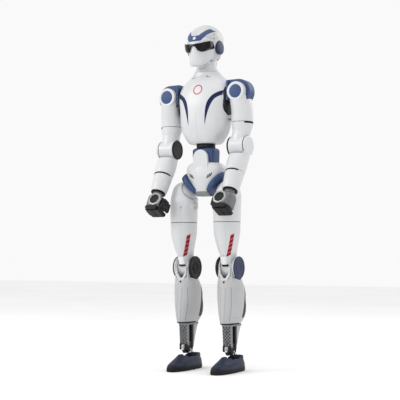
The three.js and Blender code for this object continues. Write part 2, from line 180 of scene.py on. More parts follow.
WHITE = moulded("white_shell", (0.60, 0.605, 0.62), 0.36, coat=0.15)
HELMET_WHITE = moulded("helmet_white", (0.50, 0.503, 0.51), 0.36, coat=0.15)
BRIGHT_WHITE = moulded("bright_white", (0.70, 0.70, 0.71), 0.34, coat=0.2)
LEG_WHITE = moulded("leg_white", (0.58, 0.585, 0.60), 0.4, coat=0.1)
SHIN_GREY = moulded("shin_grey", (0.43, 0.432, 0.44), 0.44)
NAVY = moulded("navy_shell", (0.036, 0.067, 0.168), 0.42, variation=0.08, shine=0.3)
STRIPE = moulded("navy_stripe", (0.006, 0.012, 0.066), 0.42, variation=0.06, shine=0.2)
DEEP_NAVY = moulded("deep_navy", (0.012, 0.019, 0.044), 0.52, grain=0.0002, grain_scale=600, variation=0.1,
    shine=0.3)
KNEE_NAVY = moulded("knee_navy", (0.014, 0.024, 0.072), 0.4, variation=0.08, shine=0.3)
BLACK = moulded("black_plastic", (0.007, 0.007, 0.008), 0.5, grain=0.00015, grain_scale=700, variation=0.12,
    shine=0.25)
GLOSS_BLACK = moulded("visor_black", (0.002, 0.002, 0.003), 0.2, spread=0.03, grain=0.00002, wear=0.0, shine=0.2)
RUBBER = moulded("sole_rubber", (0.006, 0.006, 0.007), 0.68, grain=0.0003, grain_scale=450, variation=0.15,
    shine=0.25)
HAND_GREY = moulded("hand_grey", (0.15, 0.152, 0.158), 0.4, metallic=0.3, variation=0.06)
RIM_GREY = moulded("rim_grey", (0.34, 0.345, 0.355), 0.38, metallic=0.3, variation=0.05)
MESH_GREY = moulded("mesh_grey", (0.20, 0.203, 0.21), 0.42, metallic=0.3)
METAL = moulded("bare_metal", (0.14, 0.145, 0.15), 0.4, metallic=0.6, grain=0.0001, grain_scale=300)
BRIGHT = moulded("bright_metal", (0.72, 0.72, 0.71), 0.24, metallic=0.9, grain=0.00003)
SOFT_GREY = moulded("soft_grey", (0.22, 0.223, 0.23), 0.45)
RED = moulded("red_mark", (0.50, 0.065, 0.09), 0.45, variation=0.08, shine=0.2)
DARK_RED = moulded("dark_red", (0.13, 0.003, 0.010), 0.45, variation=0.1, shine=0.2)
GROOVE = moulded("groove", (0.012, 0.012, 0.014), 0.7, wear=0.0, shine=0.1)
SOFT_GROOVE = moulded("soft_groove", (0.10, 0.103, 0.11), 0.6, wear=0.0, shine=0.2)


# ---- meshes ----
def object_of(name, points, faces, drawn=True):
    mesh = bpy.data.meshes.new(name)
    mesh.from_pydata([tuple(p) for p in points], [], faces)
    if drawn:
        mesh.transform(DRAWN_TO_FRAME)
    mesh.validate()
    shape = bmesh.new()
    shape.from_mesh(mesh)
    bmesh.ops.recalc_face_normals(shape, faces=shape.faces)
    shape.to_mesh(mesh)
    shape.free()
    piece = bpy.data.objects.new(name, mesh)
    bpy.context.scene.collection.objects.link(piece)
    return piece


def smooth_curve(knots, values, at):
    """Monotone cubic through the knots, so that a surface never bulges past its sections."""
    knots = np.asarray(knots, float)
    values = np.asarray(values, float)
    steps = np.diff(knots)
    slopes = np.diff(values) / steps
    tangents = np.zeros_like(values)
    tangents[0] = slopes[0]
    tangents[-1] = slopes[-1]
    for i in range(1, len(values) - 1):
        if slopes[i - 1] * slopes[i] > 0:
            weight = steps[i - 1] + 2 * steps[i]
            other = 2 * steps[i - 1] + steps[i]
            tangents[i] = (weight + other) / (weight / slopes[i - 1] + other / slopes[i])
    cell = np.clip(np.searchsorted(knots, at) - 1, 0, len(steps) - 1)
    t = (at - knots[cell]) / steps[cell]
    start = (1 + 2 * t) * (1 - t) ** 2 * values[cell] + t * (1 - t) ** 2 * steps[cell] * tangents[cell]
    return start + t * t * (3 - 2 * t) * values[cell + 1] + t * t * (t - 1) * steps[cell] * tangents[cell + 1]


def level(x, z, half_width, front, back, power=2.0, back_power=None, own_x=None):
    """One full row of a loft: its middle, half width, front and back, and how square each half is."""
    return (z, x if own_x is None else own_x, half_width, front, back, power, back_power or power)


def ring(z, r, x=0.0, y=0.0, power=2.0, ry=None):
    """A loft row that is a circle, or an oval if ry is given, about its own middle."""
    deep = ry or r
    return (z, r, y - deep, y + deep, power, power, x)


def loft(name, rows, sides=96, step=3.0, lip=1.6, x=0.0):
    """A closed body through level rows, lowest first, with rounded rims.

    A row is a height, half width, front and back, then how square the front and back halves are.
    """
    table = np.array([level(x, *row) for row in rows], float)
    low, high = table[0, 0], table[-1, 0]
    turns = np.linspace(0, pi / 2, 5)
    levels = [(low + lip * (1 - cos(a)), lip * (1 - sin(a))) for a in turns] if lip else [(low, 0)]
    count = max(2, int((high - low - 2 * lip) / step))
    levels += [(z, 0) for z in np.linspace(low + lip, high - lip, count + 1)[1:-1]]
    levels += [(high - lip * (1 - cos(a)), lip * (1 - sin(a))) for a in turns[::-1]] if lip else [(high, 0)]
    around = np.linspace(0, 2 * pi, sides, endpoint=False)
    across, along = np.cos(around), np.sin(around)
    points = []
    for z, inset in levels:
        middle_x, rx, front, back, power, back_power = (smooth_curve(table[:, 0], table[:,
            k], np.array([z]))[0] for k in range(1, 7))
        bend = np.where(along < 0, 2 / power, 2 / back_power)
        middle, deep = (front + back) / 2, (back - front) / 2
        out_x = np.sign(across) * np.abs(across) ** bend * max(rx - inset, 0.5)
        out_y = np.sign(along) * np.abs(along) ** bend * max(deep - inset, 0.5)
        points += [(middle_x + u, middle + v, z) for u, v in zip(out_x, out_y)]
    faces = []
    last = (len(levels) - 1) * sides
    for a in range(0, last, sides):
        for i in range(sides):
            j = (i + 1) % sides
            faces.append((a + i, a + j, a + sides + j, a + sides + i))
    faces.append(tuple(reversed(range(sides))))
    faces.append(tuple(range(last, last + sides)))
    return object_of(name, points, faces)


def lathe(name, profile, axis="z", at=(0, 0, 0), sides=64):
    """A turned body. The profile is (radius, height) pairs from axis to axis, turned about the axis."""
    points, faces = [], []
    rows = []
    for radius, height in profile:
        if radius < 1e-6:
            rows.append([len(points)])
            points.append((0, 0, height))
            continue
        rows.append(list(range(len(points), len(points) + sides)))
        points += [(radius * cos(2 * pi * i / sides), radius * sin(2 * pi * i / sides), height) for i in range(sides)]
    for low, high in zip(rows, rows[1:]):
        for i in range(sides):
            j = (i + 1) % sides
            corners = [low[i % len(low)], low[j % len(low)], high[j % len(high)], high[i % len(high)]]
            corners = list(dict.fromkeys(corners))
            if len(corners) > 2:
                faces.append(tuple(corners))
    turn = {"z": Matrix(), "x": Matrix.Rotation(pi / 2, 4, "Y"), "y": Matrix.Rotation(-pi / 2, 4, "X")}[axis] \
        if isinstance(axis, str) else Vector((0, 0, 1)).rotation_difference(Vector(axis)).to_matrix().to_4x4()
    place = Matrix.Translation(at) @ turn
    return object_of(name, [place @ Vector(p) for p in points], faces)


def rounded(radius, low, high, lip=1.5, dish=0.0, dish_radius=0.0):
    """Profile of a disc with rounded rims and, if asked, a shallow dished top."""
    lip = min(lip, radius * 0.45, (high - low) * 0.45)
    arc = [(radius - lip + lip * sin(a), low + lip - lip * cos(a)) for a in np.linspace(0, pi / 2, 5)]
    top = [(radius - lip + lip * sin(a), high - lip + lip * cos(a)) for a in np.linspace(pi / 2, 0, 5)]
    profile = [(0, low)] + arc + top
    if dish:
        profile += [(dish_radius, high), (dish_radius - abs(dish), high - dish)]
        profile.append((0, high - dish))
    else:
        profile.append((0, high))
    return profile


def disc(name, axis, radius, start, end, at, lip=1.5, sides=64, **dish):
    """A round body along an axis, from start to end, its other two coordinates in at."""
    place = {"x": (0, at[0], at[1]), "y": (at[0], 0, at[1]), "z": (at[0], at[1], 0)}[axis]
    low, high = min(start, end), max(start, end)
    profile = rounded(radius, low, high, lip, **dish)
    if end < start:
        profile = [(r, low + high - h) for r, h in rounded(radius, low, high, lip, **dish)][::-1]
    return lathe(name, profile, axis, place, sides)


def prism(name, outline, low, high, axis="y"):
    """A flat outline carried along an axis."""
    count = len(outline)
    area = sum(a[0] * b[1] - b[0] * a[1] for a, b in zip(outline, outline[1:] + outline[:1]))
    ordered = outline if (area > 0) == (axis == "x") else outline[::-1]
    lift = {"x": lambda a, b, c: (c, a, b), "y": lambda a, b, c: (a, c, b), "z": lambda a, b, c: (a, b, c)}[axis]
    if axis == "z":
        ordered = outline if area > 0 else outline[::-1]
    points = [lift(a, b, c) for c in (low, high) for a, b in ordered]
    faces = [tuple(reversed(range(count))), tuple(range(count, 2 * count))]
    faces += [(i, (i + 1) % count, count + (i + 1) % count, count + i) for i in range(count)]
    return object_of(name, points, faces)


def block(name, xs, ys, zs):
    return prism(name, [(xs[0], zs[0]), (xs[1], zs[0]), (xs[1], zs[1]), (xs[0], zs[1])], *ys, axis="y")


def sphere(name, radius, at, sides=48):
    profile = [(radius * sin(a), -radius * cos(a)) for a in np.linspace(0, pi, sides // 2 + 1)]
    profile[0], profile[-1] = (0, -radius), (0, radius)
    return lathe(name, profile, "z", at, sides)


def arc(x, z, radius, start, end, steps=12):
    """Points round a circle, by angles in degrees."""
    return [(x + radius * cos(radians(a)), z + radius * sin(radians(a))) for a in np.linspace(start, end, steps)]


def baked(piece):
    """The piece with its modifiers applied."""
    graph = bpy.context.evaluated_depsgraph_get()
    mesh = bpy.data.meshes.new_from_object(piece.evaluated_get(graph))
    piece.modifiers.clear()
    piece.data = mesh
    return piece


def joined(piece, *others, how="UNION"):
    """Adds, cuts or keeps the others, which are used up."""
    for other in others:
        modifier = piece.modifiers.new(how.lower(), "BOOLEAN")
        modifier.operation = how
        modifier.solver = "MANIFOLD"
        modifier.object = other
    baked(piece)
    for other in others:
        bpy.data.objects.remove(other)
    return piece


def cut(piece, *others):
    return joined(piece, *others, how="DIFFERENCE")


def kept(piece, *others):
    return joined(piece, *others, how="INTERSECT")


def copied(piece):
    copy = piece.copy()
    copy.data = piece.data.copy()
    bpy.context.scene.collection.objects.link(copy)
    return copy


def softened(piece, voxel=1.6, smooth=5, keep=0.35):
    """Rounds every edge and join as a moulding does."""
    remesh = piece.modifiers.new("remesh", "REMESH")
    remesh.mode = "VOXEL"
    remesh.voxel_size = voxel * MM
    soften = piece.modifiers.new("soften", "SMOOTH")
    soften.iterations = smooth
    soften.factor = 0.5
    thin = piece.modifiers.new("thin", "DECIMATE")
    thin.ratio = keep
    return baked(piece)


def about(axis, at, degrees):
    """A turn about an axis through a point, in drawing millimetres."""
    return Matrix.Translation(at) @ Matrix.Rotation(radians(degrees), 4, axis) @ Matrix.Translation(-Vector(at))


def turned(piece, matrix):
    """Moves a drawn piece by a matrix given in drawing millimetres."""
    piece.data.transform(DRAWN_TO_FRAME @ matrix @ DRAWN_TO_FRAME.inverted())
    return piece


FOREARM_FRAME = Matrix.Translation((ARM_X, -2.7, ELBOW[1])) @ Matrix.Rotation(-FOREARM_TILT, 4, "X")


def swung(piece):
    """Forearm and hand pieces are drawn hanging from the elbow, then swung forward."""
    return turned(piece, FOREARM_FRAME)


def finish(piece, material, body, replaces=(), sharp=32):
    """Smooth shading, material, and the CAD body and nodes that the piece belongs to."""
    for polygon in piece.data.polygons:
        polygon.use_smooth = True
    piece.data.set_sharp_from_angle(angle=radians(sharp))
    piece.data.materials.clear()
    piece.data.materials.append(material)
    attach(piece, body)
    if replaces:
        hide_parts(*replaces)
    return piece


def mirror_of(piece, name):
    copy = copied(piece)
    copy.name = name
    copy.data.name = name
    copy.data.transform(Matrix.Scale(-1, 4, (1, 0, 0)))
    copy.data.flip_normals()
    return copy


def finish_pair(piece, name, material, body, cad=False, sharp=32):
    """The left piece and its mirror image. With cad they are shells in place of the CAD nodes of that name."""
    end = "_shell" if cad else ""
    other = mirror_of(piece, f"{name}_right{end}")
    piece.name = f"{name}_left{end}"
    for one, (side, _) in zip((piece, other), SIDES):
        on = body if body in frame["bodies"] else f"{body}_{side}"
        finish(one, material, on, (f"{name}_{side}",) if cad else (), sharp)
    return piece, other


# ---- marks and cuts that follow a surface ----
def tree_of(piece):
    shape = bmesh.new()
    shape.from_mesh(piece.data)
    tree = BVHTree.FromBMesh(shape)
    shape.free()
    return tree


VIEWS = {
    "front": (lambda a, b: (a, -600, b), (0, 1, 0)),
    "back": (lambda a, b: (a, 600, b), (0, -1, 0)),
    "left": (lambda a, b: (600, a, b), (-1, 0, 0)),
    "right": (lambda a, b: (-600, a, b), (1, 0, 0)),
    "top": (lambda a, b: (a, b, 2000), (0, 0, -1)),
    "quarter": (lambda a, b: (0.695 * a + 432, 0.719 * a - 417, b), (-0.719, 0.695, 0)),
}


def resampled(edge, count):
    edge = np.asarray(edge, float)
    lengths = np.concatenate([[0], np.cumsum(np.linalg.norm(np.diff(edge, axis=0), axis=1))])
    at = np.linspace(0, lengths[-1], count)
    return np.stack([np.interp(at, lengths, edge[:, k]) for k in range(2)], axis=1)


def curved(points, count=24):
    """A smooth line through a few points."""
    points = np.asarray(points, float)
    steps = np.arange(len(points), dtype=float)
    at = np.linspace(0, len(points) - 1, count)
    return np.stack([smooth_curve(steps, points[:, k], at) for k in range(2)], axis=1)


def laid(name, host, edge_a, edge_b, view="front", low=-1.2, high=0.5, along=28, across=5, frame_matrix=None):
    """A closed strip between two edges, drawn flat and cast onto the host's surface."""
    tree = tree_of(host)
    place, toward = VIEWS[view]
    matrix = DRAWN_TO_FRAME @ (frame_matrix or Matrix())
    direction = (matrix.to_3x3() @ Vector(toward)).normalized()
    first, second = resampled(edge_a, along), resampled(edge_b, along)
    tops, bottoms = [], []
    last = tree.find_nearest(matrix @ Vector(place(*first[0])))[:2]
    for a, b in zip(first, second):
        for t in np.linspace(0, 1, across):
            u, v = a * (1 - t) + b * t
            hit, normal, _, _ = tree.ray_cast(matrix @ Vector(place(u, v)), direction)
            if hit is None:
                hit, normal = last
            last = hit, normal
            tops.append(hit + normal * high * MM)
            bottoms.append(hit + normal * low * MM)
    count = along * across
    faces = []
    for i in range(along - 1):
        for j in range(across - 1):
            k = i * across + j
            faces.append((k, k + 1, k + across + 1, k + across))
            faces.append((count + k + across, count + k + across + 1, count + k + 1, count + k))
    rim = list(range(across))
    rim += [i * across + across - 1 for i in range(1, along)]
    rim += [(along - 1) * across + j for j in range(across - 2, -1, -1)]
    rim += [i * across for i in range(along - 2, 0, -1)]
    faces += [(p, count + p, count + q, q) for p, q in zip(rim, rim[1:] + rim[:1])]
    return object_of(name, tops + bottoms, faces, drawn=False)


def mark(material, body, *drawing, **how):
    """A strip laid on a surface, finished on its body."""
    return finish(laid(*drawing, **how), material, body)


def band(points, width, end_width=None, count=24):
    """The two edges of a strip along a smooth line, by its width at each end."""
    line = curved(points, count)
    tangent = np.gradient(line, axis=0)
    tangent /= np.linalg.norm(tangent, axis=1)[:, None]
    normal = np.stack([-tangent[:, 1], tangent[:, 0]], axis=1)
    half = np.linspace(width, width if end_width is None else end_width, count)[:, None] / 2
    return line + normal * half, line - normal * half


def groove(piece, points, width=1.4, depth=1.6, view="front", count=40):
    """A narrow panel line cut into the piece."""
    edges = band(points, width, count=count)
    cutter = laid("cutter", piece, *edges, view, low=-depth, high=2.0, along=count, across=2)
    return cut(piece, cutter)


# ---- head ----
SKULL = [
    (1469, 32, -103, -66, 2.6),
    (1480, 39, -108, -44, 2.4),
    (1492, 49, -111, 6, 2.2),
    (1503, 58, -113, 50, 1.9, 2.2),
    (1520, 65, -116, 76, 1.75, 2.2),
    (1540, 71, -119, 87, 1.75, 2.2),
    (1562, 77, -119, 91, 1.9, 2.2),
    (1585, 81, -115, 95, 2.1, 2.2),
    (1610, 81, -105, 95, 2.2),
    (1633, 76, -90, 91, 2.2),
    (1654, 63, -70, 78, 2.1),
    (1669, 46, -48, 60, 2.0),
    (1679, 28, -27, 40, 2.0),
    (1685, 6, -4, 14, 2.0),
]


def make_head():
    skull = loft("skull", SKULL, step=2.5, lip=0)
    socket = disc("socket", "x", 53.5, -56, 56, NECK_PITCH)
    pockets = [disc("pocket", "x", 34.2, side * 70, side * 100, EAR) for _, side in SIDES]
    cut(skull, socket, *pockets)
    softened(skull, voxel=1.6, smooth=4, keep=0.45)

    lens_half = [(0, 1567), (40, 1571.5), (73, 1583), (72, 1556), (66, 1548), (45, 1533), (31, 1532), (22, 1537),
        (13, 1553), (7, 1557.5), (0, 1558)]
    outline = lens_half + [(-x, z) for x, z in lens_half[-2:0:-1]]
    wrap = loft("visor", [(1524, 71, -123, 70, 2.1), (1556, 80.5, -125.5, 70, 2.2), (1592, 86, -121, 70, 2.3)],
        step=2, lip=0)
    inside = loft("inside", [(1515, 61, -106, 70, 2.1), (1556, 70, -112, 70, 2.2), (1600, 77, -108, 70, 2.3)],
        step=2, lip=0)
    around_lens = [(x * 1.012, 1557 + (z - 1557) * 1.035) for x, z in outline]
    pocket = kept(copied(wrap), prism("frame", around_lens, -150, -42))
    cut(pocket, copied(inside))
    visor = kept(wrap, prism("lens", outline, -150, -43))
    cut(visor, inside)
    softened(visor, voxel=0.9, smooth=2, keep=0.35)
    cut(skull, pocket)
    whole = copied(skull)

    parting = prism("parting", [(-200, 1601), (-78, 1601), (-50, 1570), (-36, 1528), (-30, 1400), (-200, 1400)],
        -150, 150, "x")
    face = kept(copied(skull), copied(parting))
    helmet = cut(skull, turned(parting, Matrix.Translation((0, 0.8, 0.8))))
    # The room the mask sweeps through when the head nods.
    nods = [turned(copied(face), about("X", (0, *NECK_PITCH), angle)) for angle in NOD_STEPS]
    finish(visor, GLOSS_BLACK, "head", ("visor",), sharp=50)
    finish(helmet, HELMET_WHITE, "head", ("head_shell",))
    face.name = "face_mask_shell"
    finish(face, WHITE, "head", ("face_mask",))

    # The brow band: a chevron with a plain round badge.
    for side in (1, -1):
        lower = [(0, 1582), (side * 30, 1584), (side * 42, 1598), (side * 55, 1618), (side * 71, 1638)]
        upper = [(0, 1611), (side * 17, 1612), (side * 28, 1622), (side * 39, 1636), (side * 52, 1650)]
        mark(NAVY, "head", f"brow_band_{'left' if side > 0 else 'right'}", whole, curved(lower), curved(upper),
            low=-1.5, high=0.7, along=40, across=11)
    around = [(8 * cos(a), BADGE_Z + 8 * sin(a)) for a in np.linspace(pi, 0, 15)]
    under = [(x, 2 * BADGE_Z - z) for x, z in around]
    finish(laid("brow_badge", whole, around, under, low=0.2, high=1.3, along=20, across=7), WHITE, "head")
    bpy.data.objects.remove(whole)

    for name, side in SIDES:
        start, end = side * 70.6, side * 86.5
        ear = disc(f"ear_disc_{name}_shell", "x", 33, start, end, EAR, lip=4)
        finish(ear, KNEE_NAVY, "head", (f"ear_disc_{name}",))
        cap = disc(f"ear_cap_{name}", "x", 23, side * 85, side * 87.6, EAR, lip=1.2)
        finish(cap, KNEE_NAVY, "head")
        for y, z in ((-46, 1622), (-52, 1600)):
            spot = [(y + 3.2 * cos(a), z + 3.2 * sin(a)) for a in np.linspace(pi, 0, 9)]
            facing = [(u, 2 * z - v) for u, v in spot]
            mark(SOFT_GROOVE, "head", f"temple_screw_{name}_{z}", helmet, spot, facing,
                "left" if side > 0 else "right", low=-0.8, high=0.25, along=10, across=5)
    return nods


def make_neck(nods):
    column = loft("neck_shell", [(COLLAR_TOP + SEAM, 65, -50, 72), (1456, 58, -45, 63), (1470, 51, -41, 55),
        (1490, 47.5, -39, 51), (1560, 47.5, -38, 50)], sides=80, step=2.5)
    top = disc("top", "x", 52, -48, 48, NECK_PITCH, lip=4)
    joined(top, block("under", (-80, 80), (-90, 90), (1400, NECK_PITCH[1] - 28)))
    kept(column, top)
    softened(column, voxel=1.5, smooth=3, keep=0.45)
    cut(column, *nods)
    finish(column, WHITE, "neck", ("neck_column",))
    gullet = disc("neck_gaiter", "x", 45, -38, 38, NECK_PITCH, lip=6)
    finish(gullet, LEG_WHITE, "neck")


# ---- torso ----
TORSO = [
    (WAIST_TOP + SEAM, 76, -60, 60, 2.6),
    (1104, 86, -68, 67, 2.5),
    (1121, 98, -78, 77, 2.4),
    (1150, 114, -88, 88, 2.35),
    (1180, 124, -94, 95, 2.3),
    (1210, 129, -96, 100, 2.3),
    (1267, 133, -95, 104, 2.3),
    (1325, 143, -86, 106, 2.3),
    (1350, 143, -80, 105, 2.25),
    (1375, 135, -72, 102, 2.15),
    (1395, 121, -65, 96, 2.1),
    (1413, 101, -58, 84, 2.0),
    (1430, 81, -52, 78, 2.0),
    (COLLAR_TOP, 66, -51, 73, 2.0),
]
HUB_WIDTH = 88
HUB_ENDS = (1232, 1372)


def hub_outline(grow=0.0):
    radius = HUB_WIDTH / 2
    low, high = HUB_ENDS[0] + radius, HUB_ENDS[1] - radius
    return arc(0, high, radius + grow, 0, 180, 20) + arc(0, low, radius + grow, 180, 360, 20)


def make_torso():
    torso = loft("torso", TORSO, sides=128, lip=0)
    for side in (1, -1):
        low, high = sorted((side * 119, side * 175))
        cut(torso, prism("hub_room", hub_outline(1.2), low, high, "x"))
        cut(torso, disc("sweep", "x", 80, side * 134.6, side * 175, (0, SHOULDER[1])))
    softened(torso, voxel=2.0, smooth=4, keep=0.5)

    # Panel creases down the front and the two flank panels.
    groove(torso, [(0, 1099), (0, 1140), (0, 1190), (0, 1236)], 1.6, 1.0)
    for side in (1, -1):
        groove(torso, [(side * 72, 1100), (side * 92, 1142), (side * 99, 1190), (side * 100, 1240)], 1.6, 1.0)
        flank = "left" if side > 0 else "right"
        groove(torso, [(-76, 1206), (-20, 1203), (30, 1204)], 1.2, 0.9, flank)
        groove(torso, [(30, 1225), (31, 1204), (28, 1150), (18, 1108)], 1.2, 0.9, flank)
    front_half = block("front_half", (-300, 300), (-300, 12), (1000, 1500))
    chest = kept(copied(torso), copied(front_half))
    back = cut(torso, turned(front_half, Matrix.Translation((0, 0.9, 0))))
    chest.name = "chest_shell_cover"
    back.name = "back_shell_cover"
    finish(chest, WHITE, "torso", ("chest_shell",))
    finish(back, WHITE, "torso", ("back_shell",))

    for side, flag in SIDES:
        top = curved([(flag * 132, 1350), (flag * 106, 1340), (flag * 76, 1320), (flag * 55, 1286),
            (flag * 47, 1242), (flag * 45, 1184)], 40)
        low = curved([(flag * 132, 1329), (flag * 110, 1319), (flag * 88, 1303), (flag * 71, 1272),
            (flag * 58, 1234), (flag * 46, 1183)], 40)
        mark(STRIPE, "torso", f"chest_stripe_{side}", chest, top, low, low=-1.2, high=0.5, along=56, across=5)
        start, end = flag * 118, flag * 134
        hub = prism(f"shoulder_hub_{side}_shell", hub_outline(), *sorted((start, end)), axis="x")
        softened(hub, voxel=1.2, smooth=3, keep=0.3)
        finish(hub, BLACK, "torso", (f"shoulder_hub_{side}",))
        for index, (y, z) in enumerate(((14, 1243), (16, 1211))):
            view = "left" if flag > 0 else "right"
            mark(BLACK, "torso", f"flank_port_{side}_{index}", chest if y < 12 else back, [(y - 30, z + 5),
                (y + 6, z + 5)], [(y - 30, z - 5), (y + 6, z - 5)], view, low=-2, high=0.8, along=12, across=5)
            mark(METAL, "torso", f"flank_plug_{side}_{index}", chest, [(y - 24, z + 3), (y - 8, z + 3)],
                [(y - 24, z - 3), (y - 8, z - 3)], view, low=0, high=3.0, along=8, across=4)
        notch = [(flag * 33, 1428), (flag * 36, 1417), (flag * 51, 1417.5)]
        finish(laid(f"collar_notch_{side}", chest, *band(notch, 2.6, 2.0, 30), low=-1, high=0.35, along=30, across=3),
            GROOVE, "torso")

    # A plain red ring on the chest.
    outer = [(25 * cos(a), CHEST_RING_Z + 25 * sin(a)) for a in np.linspace(0, 2 * pi, 65)]
    inner = [(19.5 * cos(a), CHEST_RING_Z + 19.5 * sin(a)) for a in np.linspace(0, 2 * pi, 65)]
    for half, (start, end) in (("upper", (0, 33)), ("lower", (32, 65))):
        finish(laid(f"chest_ring_{half}", chest, outer[start:end], inner[start:end], low=-0.8, high=0.4, along=40,
                    across=3), RED, "torso")

    # The back cover: a battery hatch, its latch and a row of vents.
    for side in (1, -1):
        groove(back, [(0, 1372), (side * 52, 1368), (side * 66, 1340), (side * 64, 1240), (side * 48, 1180),
            (0, 1172)], 1.6, 1.4, "back")
    for index in range(5):
        z = 1215 + 13 * index
        mark(GROOVE, "torso", f"back_vent_{index}", back, [(-30, z + 2.6), (30, z + 2.6)], [(-30, z - 2.6),
            (30, z - 2.6)], "back", low=-1.5, high=0.3, along=20, across=3)
    mark(NAVY, "torso", "back_latch", back, [(-16, 1352), (16, 1352)], [(-16, 1340), (16, 1340)], "back", low=-1,
        high=2.2, along=12, across=5)


# ---- waist and pelvis ----
RING_INNER = -6


def ring_disc(name, radius, low, high, lip=3.0):
    axis = (0.75, 0, -0.66)
    return lathe(name, rounded(radius, low, high, lip), axis, RING, 96)


def make_pelvis():
    finish(disc("waist_bearing_ring", "z", 46, 1076.6, WAIST_TOP - 0.3, (0, 0), lip=1.5), BLACK, "pelvis",
        ("waist_bearing",))
    waist = loft("waist_block_shell", [(1003, 58, -41, 45, 5.0), (1040, 59.5, -42, 46, 5.0),
        (1064, 60, -42, 46, 5.0), (1071, 57, -40, 43, 4.6), (1076, 50, -34, 38, 4.0)], step=2.5, lip=1.0)
    finish(waist, NAVY, "pelvis", ("waist_block",))

    body = loft("pelvis", [(842, 46, -34, 36, 2.6), (852, 56, -44, 46, 2.5), (876, 72, -52, 56, 2.3),
        (905, 84, -58, 62, 2.2), (940, 98, -61, 66, 2.3), (972, 102, -59, 62, 2.4), (990, 93, -55, 58, 2.5),
        (1002.6, 76, -51, 52, 2.6)], lip=3)
    for flag in (1, -1):
        room = ring_disc("ring_room", 65.2, RING_INNER - 1.2, 95, lip=0.5)
        if flag < 0:
            room.data.transform(Matrix.Scale(-1, 4, (1, 0, 0)))
            room.data.flip_normals()
        cut(body, room)
    tongue_outline = [(42, 970), (40, 1026)] + arc(0, 1026, 40, 8, 172, 24) + [(-40, 1026), (-42, 970)]
    tongue = prism("tongue", tongue_outline, -57.5, -43.2)
    front_half = block("front_half", (-300, 300), (-300, 16), (800, 1100))
    front = joined(kept(copied(body), copied(front_half)), tongue)
    softened(front, voxel=1.5, smooth=7, keep=0.45)
    groove(front, [(-38, 932), (0, 928), (38, 932)], 1.0, 0.7)
    for flag in (1, -1):
        groove(front, [(flag * 24, 1000), (flag * 27, 960), (flag * 36, 934)], 0.9, 0.5)
    rear = cut(body, turned(front_half, Matrix.Translation((0, 0.9, 0))))
    softened(rear, voxel=1.6, smooth=4, keep=0.45)
    groove(rear, [(0, 862), (0, 996)], 1.4, 1.2, "back")
    front.name, rear.name = "pelvis_cover_shell", "pelvis_rear_shell"

    base = kept(copied(front), block("low", (-100, 100), (-100, 100), (820, 863)))
    cut(front, block("low", (-100, 100), (-100, 100), (820, 863.8)))
    base.name = "pelvis_base"
    finish(base, SOFT_GREY, "pelvis")
    for side, flag in SIDES:
        for index in range(3):
            x, z = flag * (41 + 8.5 * index), 934 + 4.5 * index
            line = [(x - flag * 3.6, z - 9), (x + flag * 4.4, z + 10)]
            mark(GROOVE, "pelvis", f"pelvis_vent_{side}_{index}", front, *band(line, 4.6, 4.0, 12), low=-1,
                high=0.4, along=12, across=3)
    finish(front, WHITE, "pelvis", ("pelvis_front_cover",))
    finish(rear, LEG_WHITE, "pelvis", ("pelvis_rear",))

    ring_piece = ring_disc("hip_ring", 64, RING_INNER, 16.8, lip=3.5)
    cut(ring_piece, sphere("ball_room", HIP_BALL + 1.6, HIP))
    softened(ring_piece, voxel=1.4, smooth=3, keep=0.4)
    pair = finish_pair(ring_piece, "hip_ring", NAVY, "pelvis", cad=True)
    for one, (side, flag) in zip(pair, SIDES):
        for index in range(4):
            u, v = 84 + 5.5 * index, 906 + 9.0 * index
            line = [(flag * (u - 5), v + 3), (flag * (u + 5), v - 3)]
            mark(GROOVE, "pelvis", f"hip_slot_{side}_{index}", one, *band(line, 3.4, 3.4, 8), low=-1, high=0.3,
                along=8, across=3)


# ---- arm ----
FORK_INSIDE = 30.4


def make_shoulder():
    x, z = SHOULDER
    round_part = disc("shoulder_block", "y", 62, -FORK_INSIDE + 0.8, FORK_INSIDE - 0.8, (x, z), lip=4, sides=96)
    root = block("root", (135.4, x), (-FORK_INSIDE + 0.8, FORK_INSIDE - 0.8), (z - 37.5, z + 61.9))
    collar = block("collar", (135.4, x - 47.5), (-43.6, 43.6), (z - 37.5, z + 58))
    joined(round_part, root, collar)
    cut(round_part, block("torso_side", (80, 135.2), (-80, 80), (z - 90, z + 90)))
    softened(round_part, voxel=1.4, smooth=8, keep=0.35)
    groove(round_part, [(150, 1399), (150, 1340), (150, 1300)], 1.4, 1.2, "front")
    finish_pair(round_part, "shoulder_block", NAVY, "shoulder", cad=True)

    sleeve = loft("upper_arm", [ring(ARM_SEAM + 0.9, 51.5, ARM_X, 4), ring(1235, 52, ARM_X, 3),
        ring(1262, 52, ARM_X - 1, 1, 2.05, 53), ring(1290, 51, ARM_X - 3, 0, 2.3, 56), ring(z, 46, x, 0, 2.6, 57)])
    bosses = disc("bosses", "y", 46, -57, 57, (x, z), lip=3.5, sides=96)
    room = disc("room", "y", 63.2, -FORK_INSIDE, FORK_INSIDE, (x, z), lip=0.3, sides=96)
    above = block("above", (90, 300), (-FORK_INSIDE, FORK_INSIDE), (z, z + 90))
    cut(joined(sleeve, bosses), room, above)
    for end, face in ((-1, -57), (1, 57)):
        cut(sleeve, disc("seat", "y", 32.2, *sorted((face - end * 4, face + end * 10)), (x, z), lip=0.2))
    softened(sleeve, voxel=1.3, smooth=5, keep=0.35)
    finish_pair(sleeve, "upper_arm_sleeve", WHITE, "upper_arm", cad=True)
    for label, face in (("front", -57), ("rear", 57)):
        toward = -1 if label == "front" else 1
        cap = disc("cap", "y", 31.3, face - toward * 5, face + toward * 0.3, (x, z), lip=1.6)
        finish_pair(cap, f"shoulder_disc_{label}", NAVY, "upper_arm")


